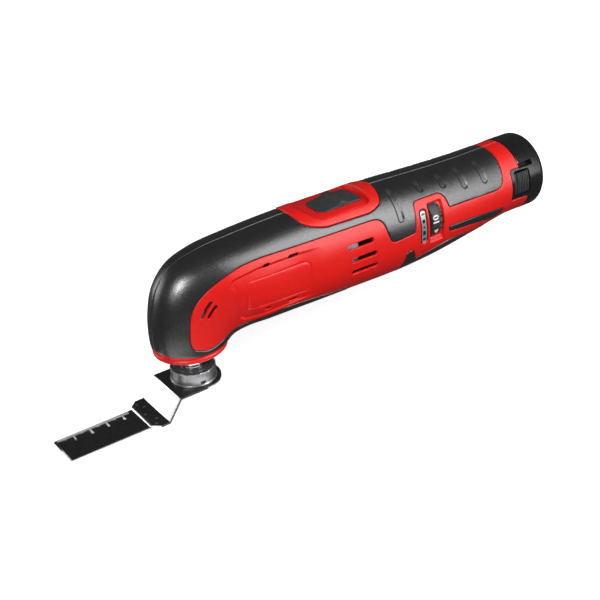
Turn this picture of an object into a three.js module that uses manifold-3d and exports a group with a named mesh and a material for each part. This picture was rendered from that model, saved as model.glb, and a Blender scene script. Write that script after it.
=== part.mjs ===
// Cordless oscillating multi-tool with a plunge blade, built from its separate pieces.
// Units are millimetres and +Z is up. The blade points to -X and the battery to +X.
// Pieces are placed in the tool's own frame: x = 0 and y = 0 on the spindle axis, and z = 0 on
// the flange face that the accessory seats on. The last lines move the whole tool so that the
// origin is under the middle of its box.

import * as THREE from 'three';
import { mergeVertices } from 'three/addons/utils/BufferGeometryUtils.js';
import Module from 'manifold-3d';

const wasm = await Module();
wasm.setup();

// ---------------------------------------------------------------- driving dimensions

const GAP = 0.3; // clearance between pieces that touch
const FIT = 0.15; // clearance of a hub around its shaft
const WALL = 3.2; // housing wall, rubber included
const RUBBER = 1.6; // thickness of the moulded grip
const SPLIT = 0.15; // each housing half stops this far from the middle plane

// Sections of the body, from the nose to the rear end: the top (front) rail's x and z, the
// bottom (back) rail's x and z, the half width, and the squareness, where 2 is an ellipse.
const SECTIONS = [
  [-21.4, 19, 21.4, 19, 19.7, 2.1],
  [-22.4, 31, 23.4, 21.6, 18.6, 2.2],
  [-21.2, 46, 27, 22.6, 18.7, 2.25],
  [-16.5, 61, 32, 22.6, 19.6, 2.25],
  [-6.5, 71.8, 38, 22.6, 21, 2.25],
  [10, 76.8, 46.5, 22.8, 24, 2.25],
  [35, 79, 58, 22.9, 25.3, 2.25],
  [65, 80.4, 76, 22.4, 25.4, 2.25],
  [100, 80.6, 100, 22.1, 25.6, 2.25],
  [135, 79.8, 135, 22, 26.2, 2.25],
  [165, 78.5, 165, 23.8, 26, 2.2],
  [200, 77.8, 200, 28.2, 24.9, 2.1],
  [224, 78.5, 224, 31, 23.8, 2],
  [240, 78.7, 240, 31.3, 23.7, 2],
];
const RINGS = 13; // rings along the body
const SIDES = 16; // points around a ring

const NOSE = { bottom: 19.1, top: 22.2, lengthRadius: 21.5, widthRadius: 19.8, bore: 15.4 };
const SPINDLE = { neck: 7.25, shaft: 6, tip: 5, low: 1.2, step: 25.7, upper: 52, high: 58.8 };
const FLANGE = { radius: 13, rim: 13.95, top: 8, washer: 12.2, washerDepth: 0.9 };
const SOCKETS = { count: 8, circle: 10, radius: 1.5, depth: 1 }; // in the flange's seat face
const STUDS = { radius: 1.2, height: 0.75 }; // on the blade holder, one for each socket
const CASE = { radius: 14.8, bore: 13.4, neck: 10.9, bottom: 20.2, shoulder: 47, top: 60.6 };
const MOTOR = {
  radius: 18, wall: 1.2, z: 51, front: 39, rear: 97, bell: 106.5, shaft: 1.6, screws: 11,
};
const ECCENTRIC = { offset: 0.75, radius: 3.4, bearing: 7, front: 23.5, rear: 28.5 };
const BLADE = {
  thickness: 1.2, plate: 15.6, width: 22.6, bend: -17.6, foot: -26.1, drop: -12.3,
  bracketEnd: -36.2, tip: -84.4, teeth: 16, toothDepth: 1.2,
};
const SWITCH = { front: 86.3, rear: 117.4, halfWidth: 9.3, low: 76.7, ridge: 102.6, top: 80.9 };
const BEZEL = { proud: 0.6, depth: 2.1 }; // measured from the body's surface
const TRAY = { floor: 76.4, bottom: 75.4, wall: 1.2 }; // the bezel's sunken floor for the knob
const DIAL = { front: 154.2, rear: 161.4, y: -14.5, z: 55, radius: 13, flutes: 16 };
const BATTERY = { front: 168, seam: 229.2, end: 248.7, radius: 23.7, z: 55, wall: 2.4 };
const TONGUE = { rear: 236.6, top: 47.2 }; // the housing reaches back over the battery, low down
const CELLS = {
  radius: 9.1, sleeve: 1.2, length: 65, front: 175.6, pitchCircle: 10.6, z: 54.8, count: 3,
};
const LATCH = { front: 222.9, rear: 235.4, low: 49.6, high: 65.8, inner: 20.6, outer: 30, travel: 2 };
const VENTS = [[95, 110.4, 58.4], [97, 112.4, 49.6], [97.4, 113, 41.4]]; // front x, rear x, z
const PANEL_SLOTS = [[39.3, 42.2, 65.4], [55.8, 60.8, 65.4], [38.8, 41, 38], [53.6, 58.8, 38]];
const HEAD_VENTS = [[[6.2, 54], [2.8, 50.4], [0, 46.2]], [[8.9, 50.8], [5.9, 47.8], [3.9, 45]]];
const SLOT_RADIUS = { vent: 1.2, head: 1.1, panel: 0.8 };
const LEAD_RADIUS = 1;
const SCREWS = [[30, 72.4], [46, 28.3], [114, 28.4], [138, 72.6], [163, 29], [163, 73]];
const SCREW = { boss: 3.4, pilot: 1.6, shank: 1.3, hole: 3.2, head: 2.8, seat: 10, tip: -12 };

const MOTOR_AXIS = [0, MOTOR.z]; // y and z of lines that run along X
const DIAL_AXIS = [DIAL.y, DIAL.z];
const BATTERY_AXIS = [0, BATTERY.z];

// ---------------------------------------------------------------- materials

const plastic = (color, roughness) => new THREE.MeshStandardMaterial({ color, roughness });
const metal = (color, roughness) => {
  return new THREE.MeshStandardMaterial({ color, roughness, metalness: 1 });
};
const RED = plastic(0xd8150f, 0.42);
const RUBBER_BLACK = plastic(0x2b2d2f, 0.62);
const BLACK = plastic(0x141414, 0.35);
const DARK_GREY = plastic(0x3a3a3c, 0.5);
const LIGHT_GREY = plastic(0xc9ccce, 0.4);
const GREEN_BOARD = plastic(0x1f5a33, 0.5);
const CELL_WRAP = plastic(0x2f6fb0, 0.4);
const LEAD_RED = plastic(0xa11616, 0.5);
const LEAD_BLACK = plastic(0x1a1a1a, 0.5);
const MAGNET = plastic(0x3c3835, 0.7);
const STEEL = metal(0xb9bcc0, 0.3);
const DARK_STEEL = metal(0x2a2a2c, 0.35);
const ALUMINIUM = metal(0xb0b3b6, 0.45);
const COPPER = metal(0xb87333, 0.35);
const BRASS = metal(0xc4a04a, 0.35);

// ---------------------------------------------------------------- solids from three.js shapes

function solidOf(geometry) {
  const bare = geometry.clone();
  bare.deleteAttribute('normal');
  bare.deleteAttribute('uv');
  const merged = mergeVertices(bare, 1e-4);
  const vertProperties = new Float32Array(merged.attributes.position.array);
  const triVerts = new Uint32Array(merged.index.array);
  return new wasm.Manifold(new wasm.Mesh({ numProp: 3, vertProperties, triVerts }));
}

function box(low, high) {
  const size = high.map((value, axis) => value - low[axis]);
  const geometry = new THREE.BoxGeometry(...size);
  geometry.translate(...low.map((value, axis) => value + size[axis] / 2));
  return solidOf(geometry);
}

// A cylinder along one axis, from low to high; u and v are the other two coordinates.
function rod(axis, radius, low, high, [u, v] = [0, 0], sides = 24) {
  const geometry = new THREE.CylinderGeometry(radius, radius, high - low, sides);
  const middle = (low + high) / 2;
  if (axis === 'x') {
    geometry.rotateZ(-Math.PI / 2);
    geometry.translate(middle, u, v);
  } else if (axis === 'y') {
    geometry.translate(u, middle, v);
  } else {
    geometry.rotateX(Math.PI / 2);
    geometry.translate(u, v, middle);
  }
  return solidOf(geometry);
}

function tube(axis, outer, inner, low, high, centre = [0, 0], sides = 24) {
  const wall = rod(axis, outer, low, high, centre, sides);
  return wall.subtract(rod(axis, inner, low - 1, high + 1, centre, sides));
}

// A turned piece about the Z axis, from a profile of radius and height.
function turned(profile, sides = 24) {
  const geometry = new THREE.LatheGeometry(profile.map(([r, z]) => new THREE.Vector2(r, z)), sides);
  geometry.rotateX(Math.PI / 2);
  return solidOf(geometry);
}

// A turned piece about a line parallel to the X axis, from a profile of radius and x.
function turnedAlongX(profile, [y, z], sides = 32) {
  const geometry = new THREE.LatheGeometry(profile.map(([r, x]) => new THREE.Vector2(r, x)), sides);
  geometry.rotateZ(-Math.PI / 2);
  geometry.translate(0, y, z);
  return solidOf(geometry);
}

const vectors = (points) => points.map(([u, v]) => new THREE.Vector2(u, v));
const shapeOf = (points) => new THREE.Shape(vectors(points));

// A flat shape given in x and z, thickened along Y.
function sidePrism(shape, low = -40, high = 40, curveSegments = 3) {
  const settings = { depth: high - low, bevelEnabled: false, curveSegments };
  const geometry = new THREE.ExtrudeGeometry(shape, settings);
  geometry.rotateX(Math.PI / 2);
  geometry.translate(0, high, 0);
  return solidOf(geometry);
}

// A flat shape given in x and y, thickened along Z.
function topPrism(shape, low, high, curveSegments = 3) {
  const settings = { depth: high - low, bevelEnabled: false, curveSegments };
  const geometry = new THREE.ExtrudeGeometry(shape, settings);
  geometry.translate(0, 0, low);
  return solidOf(geometry);
}

// A flat shape given in y and z, thickened along X.
function endPrism(shape, low, high, curveSegments = 3) {
  const settings = { depth: high - low, bevelEnabled: false, curveSegments };
  const geometry = new THREE.ExtrudeGeometry(shape, settings);
  const turn = new THREE.Matrix4().set(0, 0, 1, low, 1, 0, 0, 0, 0, 1, 0, 0, 0, 0, 0, 1);
  geometry.applyMatrix4(turn);
  return solidOf(geometry);
}

function roundedRectangle(left, low, right, high, radius) {
  const shape = new THREE.Shape();
  shape.absarc(right - radius, low + radius, radius, -Math.PI / 2, 0);
  shape.absarc(right - radius, high - radius, radius, 0, Math.PI / 2);
  shape.absarc(left + radius, high - radius, radius, Math.PI / 2, Math.PI);
  shape.absarc(left + radius, low + radius, radius, Math.PI, Math.PI * 1.5);
  return shape;
}

// A band of one width along a smooth line, with round ends.
function bandShape(points, radius, steps = 6) {
  const line = new THREE.SplineCurve(points.map(([u, v]) => new THREE.Vector2(u, v)));
  const edge = (side) => Array.from({ length: steps + 1 }, (_, i) => {
    const along = line.getTangent(i / steps);
    const offset = new THREE.Vector2(-along.y, along.x).multiplyScalar(side * radius);
    return line.getPoint(i / steps).add(offset);
  });
  const cap = (t, turn) => {
    const along = line.getTangent(t).multiplyScalar(turn * radius);
    return line.getPoint(t).add(along);
  };
  return new THREE.Shape([...edge(-1), cap(1, 1), ...edge(1).reverse(), cap(0, -1)]);
}

// The points of a closed outline, moved outwards by a distance.
function grown(points, distance) {
  const sign = THREE.ShapeUtils.isClockWise(points) ? -1 : 1;
  return points.map((point, i) => {
    const before = points[(i + points.length - 1) % points.length];
    const after = points[(i + 1) % points.length];
    const inward = point.clone().sub(before).normalize();
    const onward = after.clone().sub(point).normalize();
    const miter = new THREE.Vector2(inward.y + onward.y, -inward.x - onward.x);
    const stretch = 2 / Math.max(miter.lengthSq(), 1);
    return point.clone().addScaledVector(miter, sign * distance * stretch);
  });
}

// A wire along a smooth line, with a six-sided section.
function wire(points, radius) {
  const path = new THREE.CatmullRomCurve3(points.map((point) => new THREE.Vector3(...point)));
  const section = new THREE.Shape();
  section.absarc(0, 0, radius, 0, Math.PI * 2);
  const settings = { steps: 10, extrudePath: path, curveSegments: 3, bevelEnabled: false };
  return solidOf(new THREE.ExtrudeGeometry(section, settings));
}

// ---------------------------------------------------------------- body form

const rail = (column) => new THREE.CatmullRomCurve3(
  SECTIONS.map((row) => new THREE.Vector3(row[column], 0, row[column + 1])),
);
const TOP_RAIL = rail(0);
const BOTTOM_RAIL = rail(2);
const GIRTH = new THREE.CatmullRomCurve3(SECTIONS.map((row) => new THREE.Vector3(row[4], row[5], 0)));

const power = (value, exponent) => Math.sign(value) * Math.abs(value) ** exponent;

// The body's form between its two rails, made smaller all round by an inset.
function bodyForm(inset, rings = RINGS, sides = SIDES) {
  const positions = [];
  for (let i = 0; i <= rings; i += 1) {
    const top = TOP_RAIL.getPoint(i / rings);
    const bottom = BOTTOM_RAIL.getPoint(i / rings);
    const girth = GIRTH.getPoint(i / rings);
    const centre = top.clone().add(bottom).multiplyScalar(0.5);
    const height = top.distanceTo(bottom) / 2 - inset;
    const up = top.sub(bottom).normalize();
    for (let j = 0; j < sides; j += 1) {
      const angle = (2 * Math.PI * j) / sides;
      const rise = height * power(Math.cos(angle), 2 / girth.y);
      const out = (girth.x - inset) * power(Math.sin(angle), 2 / girth.y);
      positions.push(centre.x + up.x * rise, out, centre.z + up.z * rise);
    }
  }
  const faces = [];
  for (let i = 0; i < rings; i += 1) {
    for (let j = 0; j < sides; j += 1) {
      const here = i * sides + j;
      const next = i * sides + ((j + 1) % sides);
      faces.push(here, here + sides, next, next, here + sides, next + sides);
    }
  }
  const last = rings * sides;
  for (let j = 1; j < sides - 1; j += 1) {
    faces.push(0, j, j + 1);
    faces.push(last, last + j + 1, last + j);
  }
  const geometry = new THREE.BufferGeometry();
  geometry.setAttribute('position', new THREE.Float32BufferAttribute(positions, 3));
  geometry.setIndex(faces);
  return solidOf(geometry);
}

const leftSide = box([-60, -60, -60], [300, -SPLIT, 120]);
const rightSide = box([-60, SPLIT, -60], [300, 60, 120]);

// ---------------------------------------------------------------- outlines on the body's side

// The grip's edge: under the red panel from back to front, up the head's side, back along the
// barrel, down behind the vents, over the dial and back to the rear band.
function mainGripOutline() {
  const outline = new THREE.Shape();
  outline.moveTo(99, 10);
  outline.lineTo(98, 29.4);
  outline.splineThru(vectors([[82, 30.9], [66, 33], [51, 34], [40, 32], [30, 31.2], [22, 30.6],
    [16.9, 28.5], [12.4, 26.3], [6, 25.1], [0, 25.2], [-6.4, 27.4]]));
  outline.splineThru(vectors([[-8.1, 31], [-7.8, 38.5], [-6.2, 47.8], [-2.2, 54.6], [4, 59.9],
    [13.5, 65], [25.2, 68.6], [39, 69.8]]));
  outline.lineTo(113, 68.8);
  outline.splineThru(vectors([[117.2, 68.1], [120.4, 65.1], [122.2, 59], [124.3, 53.4],
    [127.6, 51.6]]));
  outline.lineTo(141.9, 52.8);
  outline.lineTo(144, 67.6);
  outline.quadraticCurveTo(144.4, 70.2, 147, 70.4);
  outline.lineTo(163, 70.2);
  outline.quadraticCurveTo(168.2, 69.6, 168.8, 60.6);
  outline.lineTo(207, 59.4);
  outline.quadraticCurveTo(212.4, 59.4, 214.3, 64.6);
  outline.lineTo(217, 76);
  outline.lineTo(218, 95);
  outline.lineTo(-40, 95);
  outline.lineTo(-40, 25.4);
  outline.lineTo(-20, 24.9);
  outline.lineTo(-8, 23.2);
  outline.lineTo(4, 21.6);
  outline.lineTo(26.4, 21);
  outline.lineTo(27.5, 10);
  return outline;
}

// The pad under the rear of the body.
function bellyPadOutline() {
  const outline = new THREE.Shape();
  outline.moveTo(133, 10);
  outline.lineTo(136.2, 40);
  outline.quadraticCurveTo(136.8, 42, 140.9, 41.5);
  outline.lineTo(144.8, 32.6);
  outline.splineThru(vectors([[156, 35.2], [168, 37.6], [180, 37.4], [193, 34.4], [206, 34]]));
  outline.lineTo(210, 10);
  return outline;
}

const sideStripe = () => shapeOf([[168.2, 48.6], [191.2, 47.6], [214.6, 44.5], [215.4, 42.6],
  [211.6, 39.9], [187.6, 43.4], [170, 44.7], [168, 46]]);

const switchBezelShape = () => {
  const shape = new THREE.Shape();
  shape.moveTo(68.6, 0);
  shape.splineThru(vectors([[70, -11], [75, -16.2], [84, -18.6]]));
  shape.lineTo(113, -19.2);
  shape.splineThru(vectors([[119, -18.2], [124.5, -14.5], [128.6, 0]]));
  shape.splineThru(vectors([[124.5, 14.5], [119, 18.2], [113, 19.2]]));
  shape.lineTo(84, 18.6);
  shape.splineThru(vectors([[75, 16.2], [70, 11], [68.6, 0]]));
  return shape;
};

// The sunken floor that the knob slides on.
const trayShape = () => {
  const shape = new THREE.Shape();
  shape.moveTo(75.5, 0);
  shape.splineThru(vectors([[76.5, -6], [79.4, -12], [84, -15.2]]));
  shape.lineTo(113, -15.5);
  shape.splineThru(vectors([[117.6, -13.6], [119.2, -9], [119.6, 0]]));
  shape.splineThru(vectors([[119.2, 9], [117.6, 13.6], [113, 15.5]]));
  shape.lineTo(84, 15.2);
  shape.splineThru(vectors([[79.4, 12], [76.5, 6], [75.5, 0]]));
  return shape;
};

// ---------------------------------------------------------------- housing and grips

// Straight slots from a list of front x, rear x and height.
const slotCuts = (slots, radius) => slots.map(([front, rear, z]) => {
  return sidePrism(bandShape([[front, z], [rear, z]], radius, 1));
});

function ventCuts() {
  const headVents = HEAD_VENTS.map((line) => sidePrism(bandShape(line, SLOT_RADIUS.head, 3)));
  const vents = slotCuts(VENTS, SLOT_RADIUS.vent);
  return [...vents, ...headVents, ...slotCuts(PANEL_SLOTS, SLOT_RADIUS.panel)];
}

// Everything cut away from the rear end: the battery's seam, and the notch for each latch.
function rearCuts() {
  const seam = box([BATTERY.seam, -40, TONGUE.top], [250, 40, 100]);
  const end = box([TONGUE.rear, -40, 0], [250, 40, 100]);
  const notch = sidePrism(roundedRectangle(221.3, TONGUE.top, 240, 67.4, 1.5));
  const bore = rod('x', BATTERY.radius - 2.3, 221, 250, [0, BATTERY.z], 24);
  const socket = endPrism(stemShape(CELLS.radius + CELLS.sleeve + GAP), BATTERY.front - 1, 250, 3);
  return [seam, end, notch, bore, socket];
}

function motorRibs() {
  const ribs = [];
  for (const x of [50, 83]) {
    const slab = box([x, -40, 0], [x + 2, 40, 100]).intersect(bodyForm(WALL - GAP, 13, 12));
    ribs.push(slab.subtract(rod('x', MOTOR.radius + GAP, x - 1, x + 3, [0, MOTOR.z])));
  }
  return ribs;
}

function screwBosses() {
  const form = bodyForm(WALL - GAP, 13, 12);
  return SCREWS.map((place) => rod('y', SCREW.boss, -30, 30, place, 8).intersect(form));
}

function screwHoles() {
  return SCREWS.map(([x, z]) => {
    const pilot = rod('y', SCREW.pilot, SCREW.tip - 2, SCREW.seat + 1, [x, z], 6);
    return pilot.add(rod('y', SCREW.hole, SCREW.seat, 40, [x, z], 8));
  });
}

function rubberZones(distance) {
  const outlines = [mainGripOutline(), bellyPadOutline(), sideStripe()];
  return outlines.map((shape) => {
    const points = shape.getPoints(1);
    return sidePrism(new THREE.Shape(distance ? grown(points, distance) : points));
  });
}

function bezelPocket() {
  const points = grown(switchBezelShape().getPoints(2), GAP);
  return topPrism(new THREE.Shape(points), 60, 100);
}

// The room above a level inside the tray's outline, with the outline moved outwards.
function trayRoom(distance, level) {
  return topPrism(new THREE.Shape(grown(trayShape().getPoints(2), distance)), level, 100);
}

const linkSlot = () => topPrism(roundedRectangle(87.2, -5, 104, 5, 2), 60, 100);

// The wall between two depths under the body's surface.
const skinLayer = (high, low) => bodyForm(high).subtract(bodyForm(low));

function noseCut() {
  return box([-40, -40, 0], [25.5, 40, NOSE.top + GAP]);
}

function plainShell() {
  let shell = bodyForm(0).subtract(bodyForm(WALL, 13, 12));
  for (const piece of [...motorRibs(), ...screwBosses()]) {
    shell = shell.add(piece);
  }
  return shell;
}

function housingHalves() {
  const rubberRoom = skinLayer(-2, RUBBER + GAP);
  const bezelRoom = skinLayer(-2, BEZEL.depth + GAP).intersect(bezelPocket())
    .add(trayRoom(TRAY.wall + GAP, TRAY.bottom - GAP));
  const rubberCuts = rubberZones(GAP).map((zone) => rubberRoom.intersect(zone));
  const cuts = [...rubberCuts, bezelRoom, noseCut(), ...ventCuts(), ...rearCuts(), ...screwHoles()];
  const shell = cuts.reduce((piece, cut) => piece.subtract(cut), plainShell());
  const dialCuts = [
    sidePrism(roundedRectangle(153.6, 44.6, 162, 65.2, 1.2), -40, -10),
    sidePrism(roundedRectangle(146.4, 43.6, 151.4, 64.8, 1.5), -40, -10),
    rod('x', DIAL.radius + 2 * GAP, 153.6, 162, DIAL_AXIS, 20),
  ];
  const left = dialCuts.reduce((half, cut) => half.subtract(cut), shell.intersect(leftSide));
  return { left, right: shell.intersect(rightSide) };
}

function gripPieces() {
  const skin = skinLayer(0, RUBBER);
  const cuts = [noseCut(), bezelPocket(), ...screwHoles()];
  const clear = (zone) => cuts.reduce((piece, cut) => piece.subtract(cut), skin.intersect(zone));
  const [grip, pad, stripe] = rubberZones(0).map(clear);
  return { grip, pad, stripe };
}

function switchBezel() {
  const footprint = topPrism(switchBezelShape(), 60, 100, 2);
  const plate = skinLayer(-BEZEL.proud, BEZEL.depth);
  const tray = bodyForm(-BEZEL.proud).intersect(trayRoom(TRAY.wall, TRAY.bottom));
  const body = plate.add(tray).intersect(footprint);
  return body.subtract(trayRoom(0, TRAY.floor)).subtract(linkSlot());
}

function noseRing() {
  const outer = NOSE.lengthRadius;
  const inner = NOSE.bore * (outer / NOSE.widthRadius);
  const profile = [[inner, NOSE.bottom], [outer - 1, NOSE.bottom], [outer, NOSE.bottom + 1],
    [outer, NOSE.top - 0.8], [outer - 0.8, NOSE.top], [inner, NOSE.top], [inner, NOSE.bottom]];
  const squeeze = NOSE.widthRadius / outer;
  const geometry = new THREE.LatheGeometry(profile.map(([r, z]) => new THREE.Vector2(r, z)), 32);
  geometry.rotateX(Math.PI / 2);
  geometry.scale(1, squeeze, 1);
  return solidOf(geometry).subtract(rod('z', CASE.radius + GAP, 0, 40, [0, 0], 28));
}

const gaugeStrip = () => {
  const strip = sidePrism(roundedRectangle(146.7, 43.9, 151.1, 64.5, 1.3), -40, -10, 3);
  return strip.intersect(bodyForm(0.4).subtract(bodyForm(WALL - 0.4)));
};

// ---------------------------------------------------------------- gear case and spindle

const motorScrewHoles = () => [-1, 1].map((side) => {
  return rod('x', 1.7, 35, MOTOR.front + 3, [side * MOTOR.screws, MOTOR.z], 8);
});

function gearCase() {
  const outside = rod('z', CASE.radius, CASE.bottom, CASE.shoulder, [0, 0], 24)
    .add(rod('z', CASE.neck, CASE.shoulder - 1, CASE.top, [0, 0], 24))
    .add(rod('x', CASE.radius, 0, 38, [0, MOTOR.z], 28))
    .add(rod('x', 18, 35.8, 38.4, [0, MOTOR.z], 28));
  const inside = rod('z', 11.7, 26.3, 36.3, [0, 0], 24)
    .add(rod('z', CASE.bore, 36, 45.6, [0, 0], 24))
    .add(rod('z', 9.7, 45, 59.2, [0, 0], 24))
    .add(rod('z', SPINDLE.neck + 3.6, CASE.bottom - 1, 26.5, [0, 0], 24))
    .add(rod('x', CASE.bore, 0, 36.2, [0, MOTOR.z], 28))
    .add(rod('x', 6.5, 30, 40, [0, MOTOR.z], 20));
  return motorScrewHoles().reduce((piece, hole) => piece.subtract(hole), outside.subtract(inside));
}

function ballBearing(axis, outer, inner, low, high, centre = [0, 0]) {
  const ring = tube(axis, outer, inner, low, high, centre, 20);
  const race = (outer + inner) / 2;
  const groove = tube(axis, race + 0.9, race - 0.9, high - 0.5, high + 1, centre, 20);
  return ring.subtract(groove);
}

function spindle() {
  const { neck, shaft, tip, low, step, upper, high } = SPINDLE;
  const body = turned([[0, low], [neck, low], [neck, step], [shaft, step], [shaft, upper],
    [tip, upper], [tip, high], [0, high]]);
  return body.subtract(rod('z', 3.1, 0, 20, [0, 0], 16));
}

// The middle of each drive socket in the flange, and of the stud on the holder that fits it.
function socketPlaces() {
  return Array.from({ length: SOCKETS.count }, (_, i) => {
    const angle = (2 * Math.PI * (i + 0.5)) / SOCKETS.count;
    return [SOCKETS.circle * Math.cos(angle), SOCKETS.circle * Math.sin(angle)];
  });
}

function driveFlange() {
  const { radius, rim, top, washer, washerDepth } = FLANGE;
  const bore = SPINDLE.neck + FIT;
  const washerFloor = top - washerDepth;
  let piece = turned([[bore, 0], [rim, 0], [rim, 0.9], [radius, 1.2], [radius, top - 0.4],
    [radius - 0.4, top], [washer, top], [washer, washerFloor], [bore, washerFloor], [bore, 0]], 24);
  for (const place of socketPlaces()) {
    piece = piece.subtract(rod('z', SOCKETS.radius, -1, SOCKETS.depth, place, 8));
  }
  const notch = box([-2.6, -radius - 1, 1.3], [0.3, -radius + 1.3, 3.1]);
  return piece.subtract(notch);
}

function forkLever() {
  const arm = box([5, -11, 46.8], [30, 11, 55.2]);
  const mouth = box([20, -8.6, 40], [40, 8.6, 60]);
  const hub = rod('z', 9, 45, 48.8, [0, 0], 28);
  const web = arm.intersect(rod('z', 31, 46, 48.6, [0, 0], 48));
  const tines = arm.subtract(box([0, -40, 40], [22, 40, 60]));
  const lever = tines.add(hub).add(web).subtract(mouth);
  return lever.subtract(rod('z', SPINDLE.shaft + FIT, 40, 70, [0, 0], 32));
}

// ---------------------------------------------------------------- motor

function motorCan() {
  const { radius, wall, front, rear } = MOTOR;
  const can = rod('x', radius, front, rear, MOTOR_AXIS, 28);
  const inside = rod('x', radius - wall, front + wall, rear + 1, MOTOR_AXIS, 28);
  const open = can.subtract(inside).subtract(rod('x', 5, front - 1, front + 3, MOTOR_AXIS, 20));
  return motorScrewHoles().reduce((piece, hole) => piece.subtract(hole), open);
}

function motorEndBell() {
  const { radius, rear, bell } = MOTOR;
  const low = rear + GAP;
  const cup = rod('x', radius, low, bell, MOTOR_AXIS, 28);
  const inside = rod('x', radius - 2, low - 1, bell - 2, MOTOR_AXIS, 28);
  const boss = tube('x', 5, 3.4, bell - 6, bell - 1, MOTOR_AXIS, 20);
  return cup.subtract(inside).add(boss).subtract(rod('x', 3.4, low, bell + 1, MOTOR_AXIS, 20));
}

function magnet(side) {
  const ring = tube('x', 16.5, 13.4, 46, 90, MOTOR_AXIS, 28);
  const low = side < 0 ? [40, -20, MOTOR.z - 11] : [40, 0, MOTOR.z - 11];
  const high = side < 0 ? [95, 0, MOTOR.z + 11] : [95, 20, MOTOR.z + 11];
  return ring.intersect(box(low, high));
}

function armature() {
  const core = rod('x', 12.6, 50, 86, MOTOR_AXIS, 24);
  let piece = core.add(rod('x', 9.5, 45.5, 90, MOTOR_AXIS, 24));
  for (let i = 0; i < 5; i += 1) {
    const angle = (2 * Math.PI * i) / 5;
    const slot = box([44, -1, 10.2], [92, 1, 14]).rotate([(angle * 180) / Math.PI, 0, 0]);
    piece = piece.subtract(slot.translate([0, 0, MOTOR.z]));
  }
  return piece.subtract(rod('x', MOTOR.shaft + FIT, 40, 95, MOTOR_AXIS, 16));
}

function eccentric() {
  const centre = [0, MOTOR.z + ECCENTRIC.offset];
  const cam = rod('x', ECCENTRIC.radius, ECCENTRIC.front - 1, ECCENTRIC.rear + 2.3, centre, 20);
  const weight = rod('x', 9, ECCENTRIC.rear + 2, 34, MOTOR_AXIS, 24)
    .subtract(box([20, -10, MOTOR.z + 2.6], [40, 10, MOTOR.z + 10]));
  return cam.add(weight).subtract(rod('x', MOTOR.shaft + FIT, 10, 40, MOTOR_AXIS, 16));
}

// ---------------------------------------------------------------- electrics

function switchModule() {
  const body = box([112, -7, 62], [132, 7, 70.6]);
  const slot = box([114, -3, 68], [129, 3, 71]);
  const terminals = [-4, 4].map((y) => box([131.5, y - 1, 64], [134.5, y + 1, 64.8]));
  return body.subtract(slot).add(terminals[0]).add(terminals[1]);
}

function speedBoard() {
  const board = box([146, -19.5, 38], [147.6, 19.5, 64.5]);
  const chips = box([144.4, 3, 44], [146.2, 12, 54]).add(box([143, -16, 42], [146.2, -10, 48]));
  return board.add(chips);
}

function dialPotentiometer() {
  return rod('x', 5, 147.9, 152, DIAL_AXIS, 16).subtract(rod('x', 1.6, 149, 153, DIAL_AXIS, 12));
}

function dialWheel() {
  const { front, rear, radius, flutes } = DIAL;
  const steps = flutes * 2;
  const rim = shapeOf(Array.from({ length: steps }, (_, i) => {
    const angle = (2 * Math.PI * i) / steps;
    const reach = radius - 0.35 * (1 - Math.cos(angle * flutes));
    return [DIAL.y + reach * Math.cos(angle), DIAL.z + reach * Math.sin(angle)];
  }));
  const recess = rod('x', radius - 3, rear - 2.4, rear + 1, DIAL_AXIS, 28);
  const hub = rod('x', 3.6, front, rear, DIAL_AXIS, 20);
  const bore = rod('x', 1.55, front - 1, rear - 1.5, DIAL_AXIS, 12);
  return endPrism(rim, front, rear).subtract(recess).add(hub).subtract(bore);
}

function terminalBlock() {
  const block = box([162.9, -9, 47], [166.2, 9, 63]);
  const blades = [-6, 0, 6].map((y) => box([166, y - 0.5, 50], [173.6, y + 0.5, 54]));
  return blades.reduce((piece, blade) => piece.add(blade), block);
}

// ---------------------------------------------------------------- switch slider

// A low ramp that rises to one ridge for the thumb, then a flat rear part.
function knobProfile() {
  const { front, rear, low, ridge, top } = SWITCH;
  const profile = new THREE.Shape();
  profile.moveTo(front, low);
  profile.lineTo(front, low + 0.5);
  profile.splineThru(vectors([[front + 8, 77.7], [ridge - 5, 79], [ridge - 1.6, top - 0.1]]));
  profile.lineTo(ridge + 1.4, top - 0.1);
  profile.splineThru(vectors([[ridge + 3.6, 79.1], [ridge + 6, 78.3], [rear, 77.5]]));
  profile.lineTo(rear, low);
  return profile;
}

function knobFootprint() {
  const { front, rear, halfWidth } = SWITCH;
  const footprint = new THREE.Shape();
  footprint.moveTo(front, 0);
  footprint.splineThru(vectors([[front + 0.4, -5], [front + 1.8, -8.2], [front + 4, -halfWidth]]));
  footprint.lineTo(rear - 2.8, -halfWidth);
  footprint.splineThru(vectors([[rear - 1, -6], [rear, 0], [rear - 1, 6], [rear - 2.8, halfWidth]]));
  footprint.lineTo(front + 4, halfWidth);
  footprint.splineThru(vectors([[front + 1.8, 8.2], [front + 0.4, 5], [front, 0]]));
  return footprint;
}

function switchKnob() {
  return sidePrism(knobProfile(), -20, 20).intersect(topPrism(knobFootprint(), 70, 90));
}

function switchLink() {
  const post = box([95, -4.4, 74.6], [103, 4.4, SWITCH.low - GAP]);
  const bar = box([95, -4.4, 72.4], [126, 4.4, 75]);
  const finger = box([122.6, -1.6, 69], [125, 1.6, 73]);
  return post.add(bar).add(finger);
}

// ---------------------------------------------------------------- accessory

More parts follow.
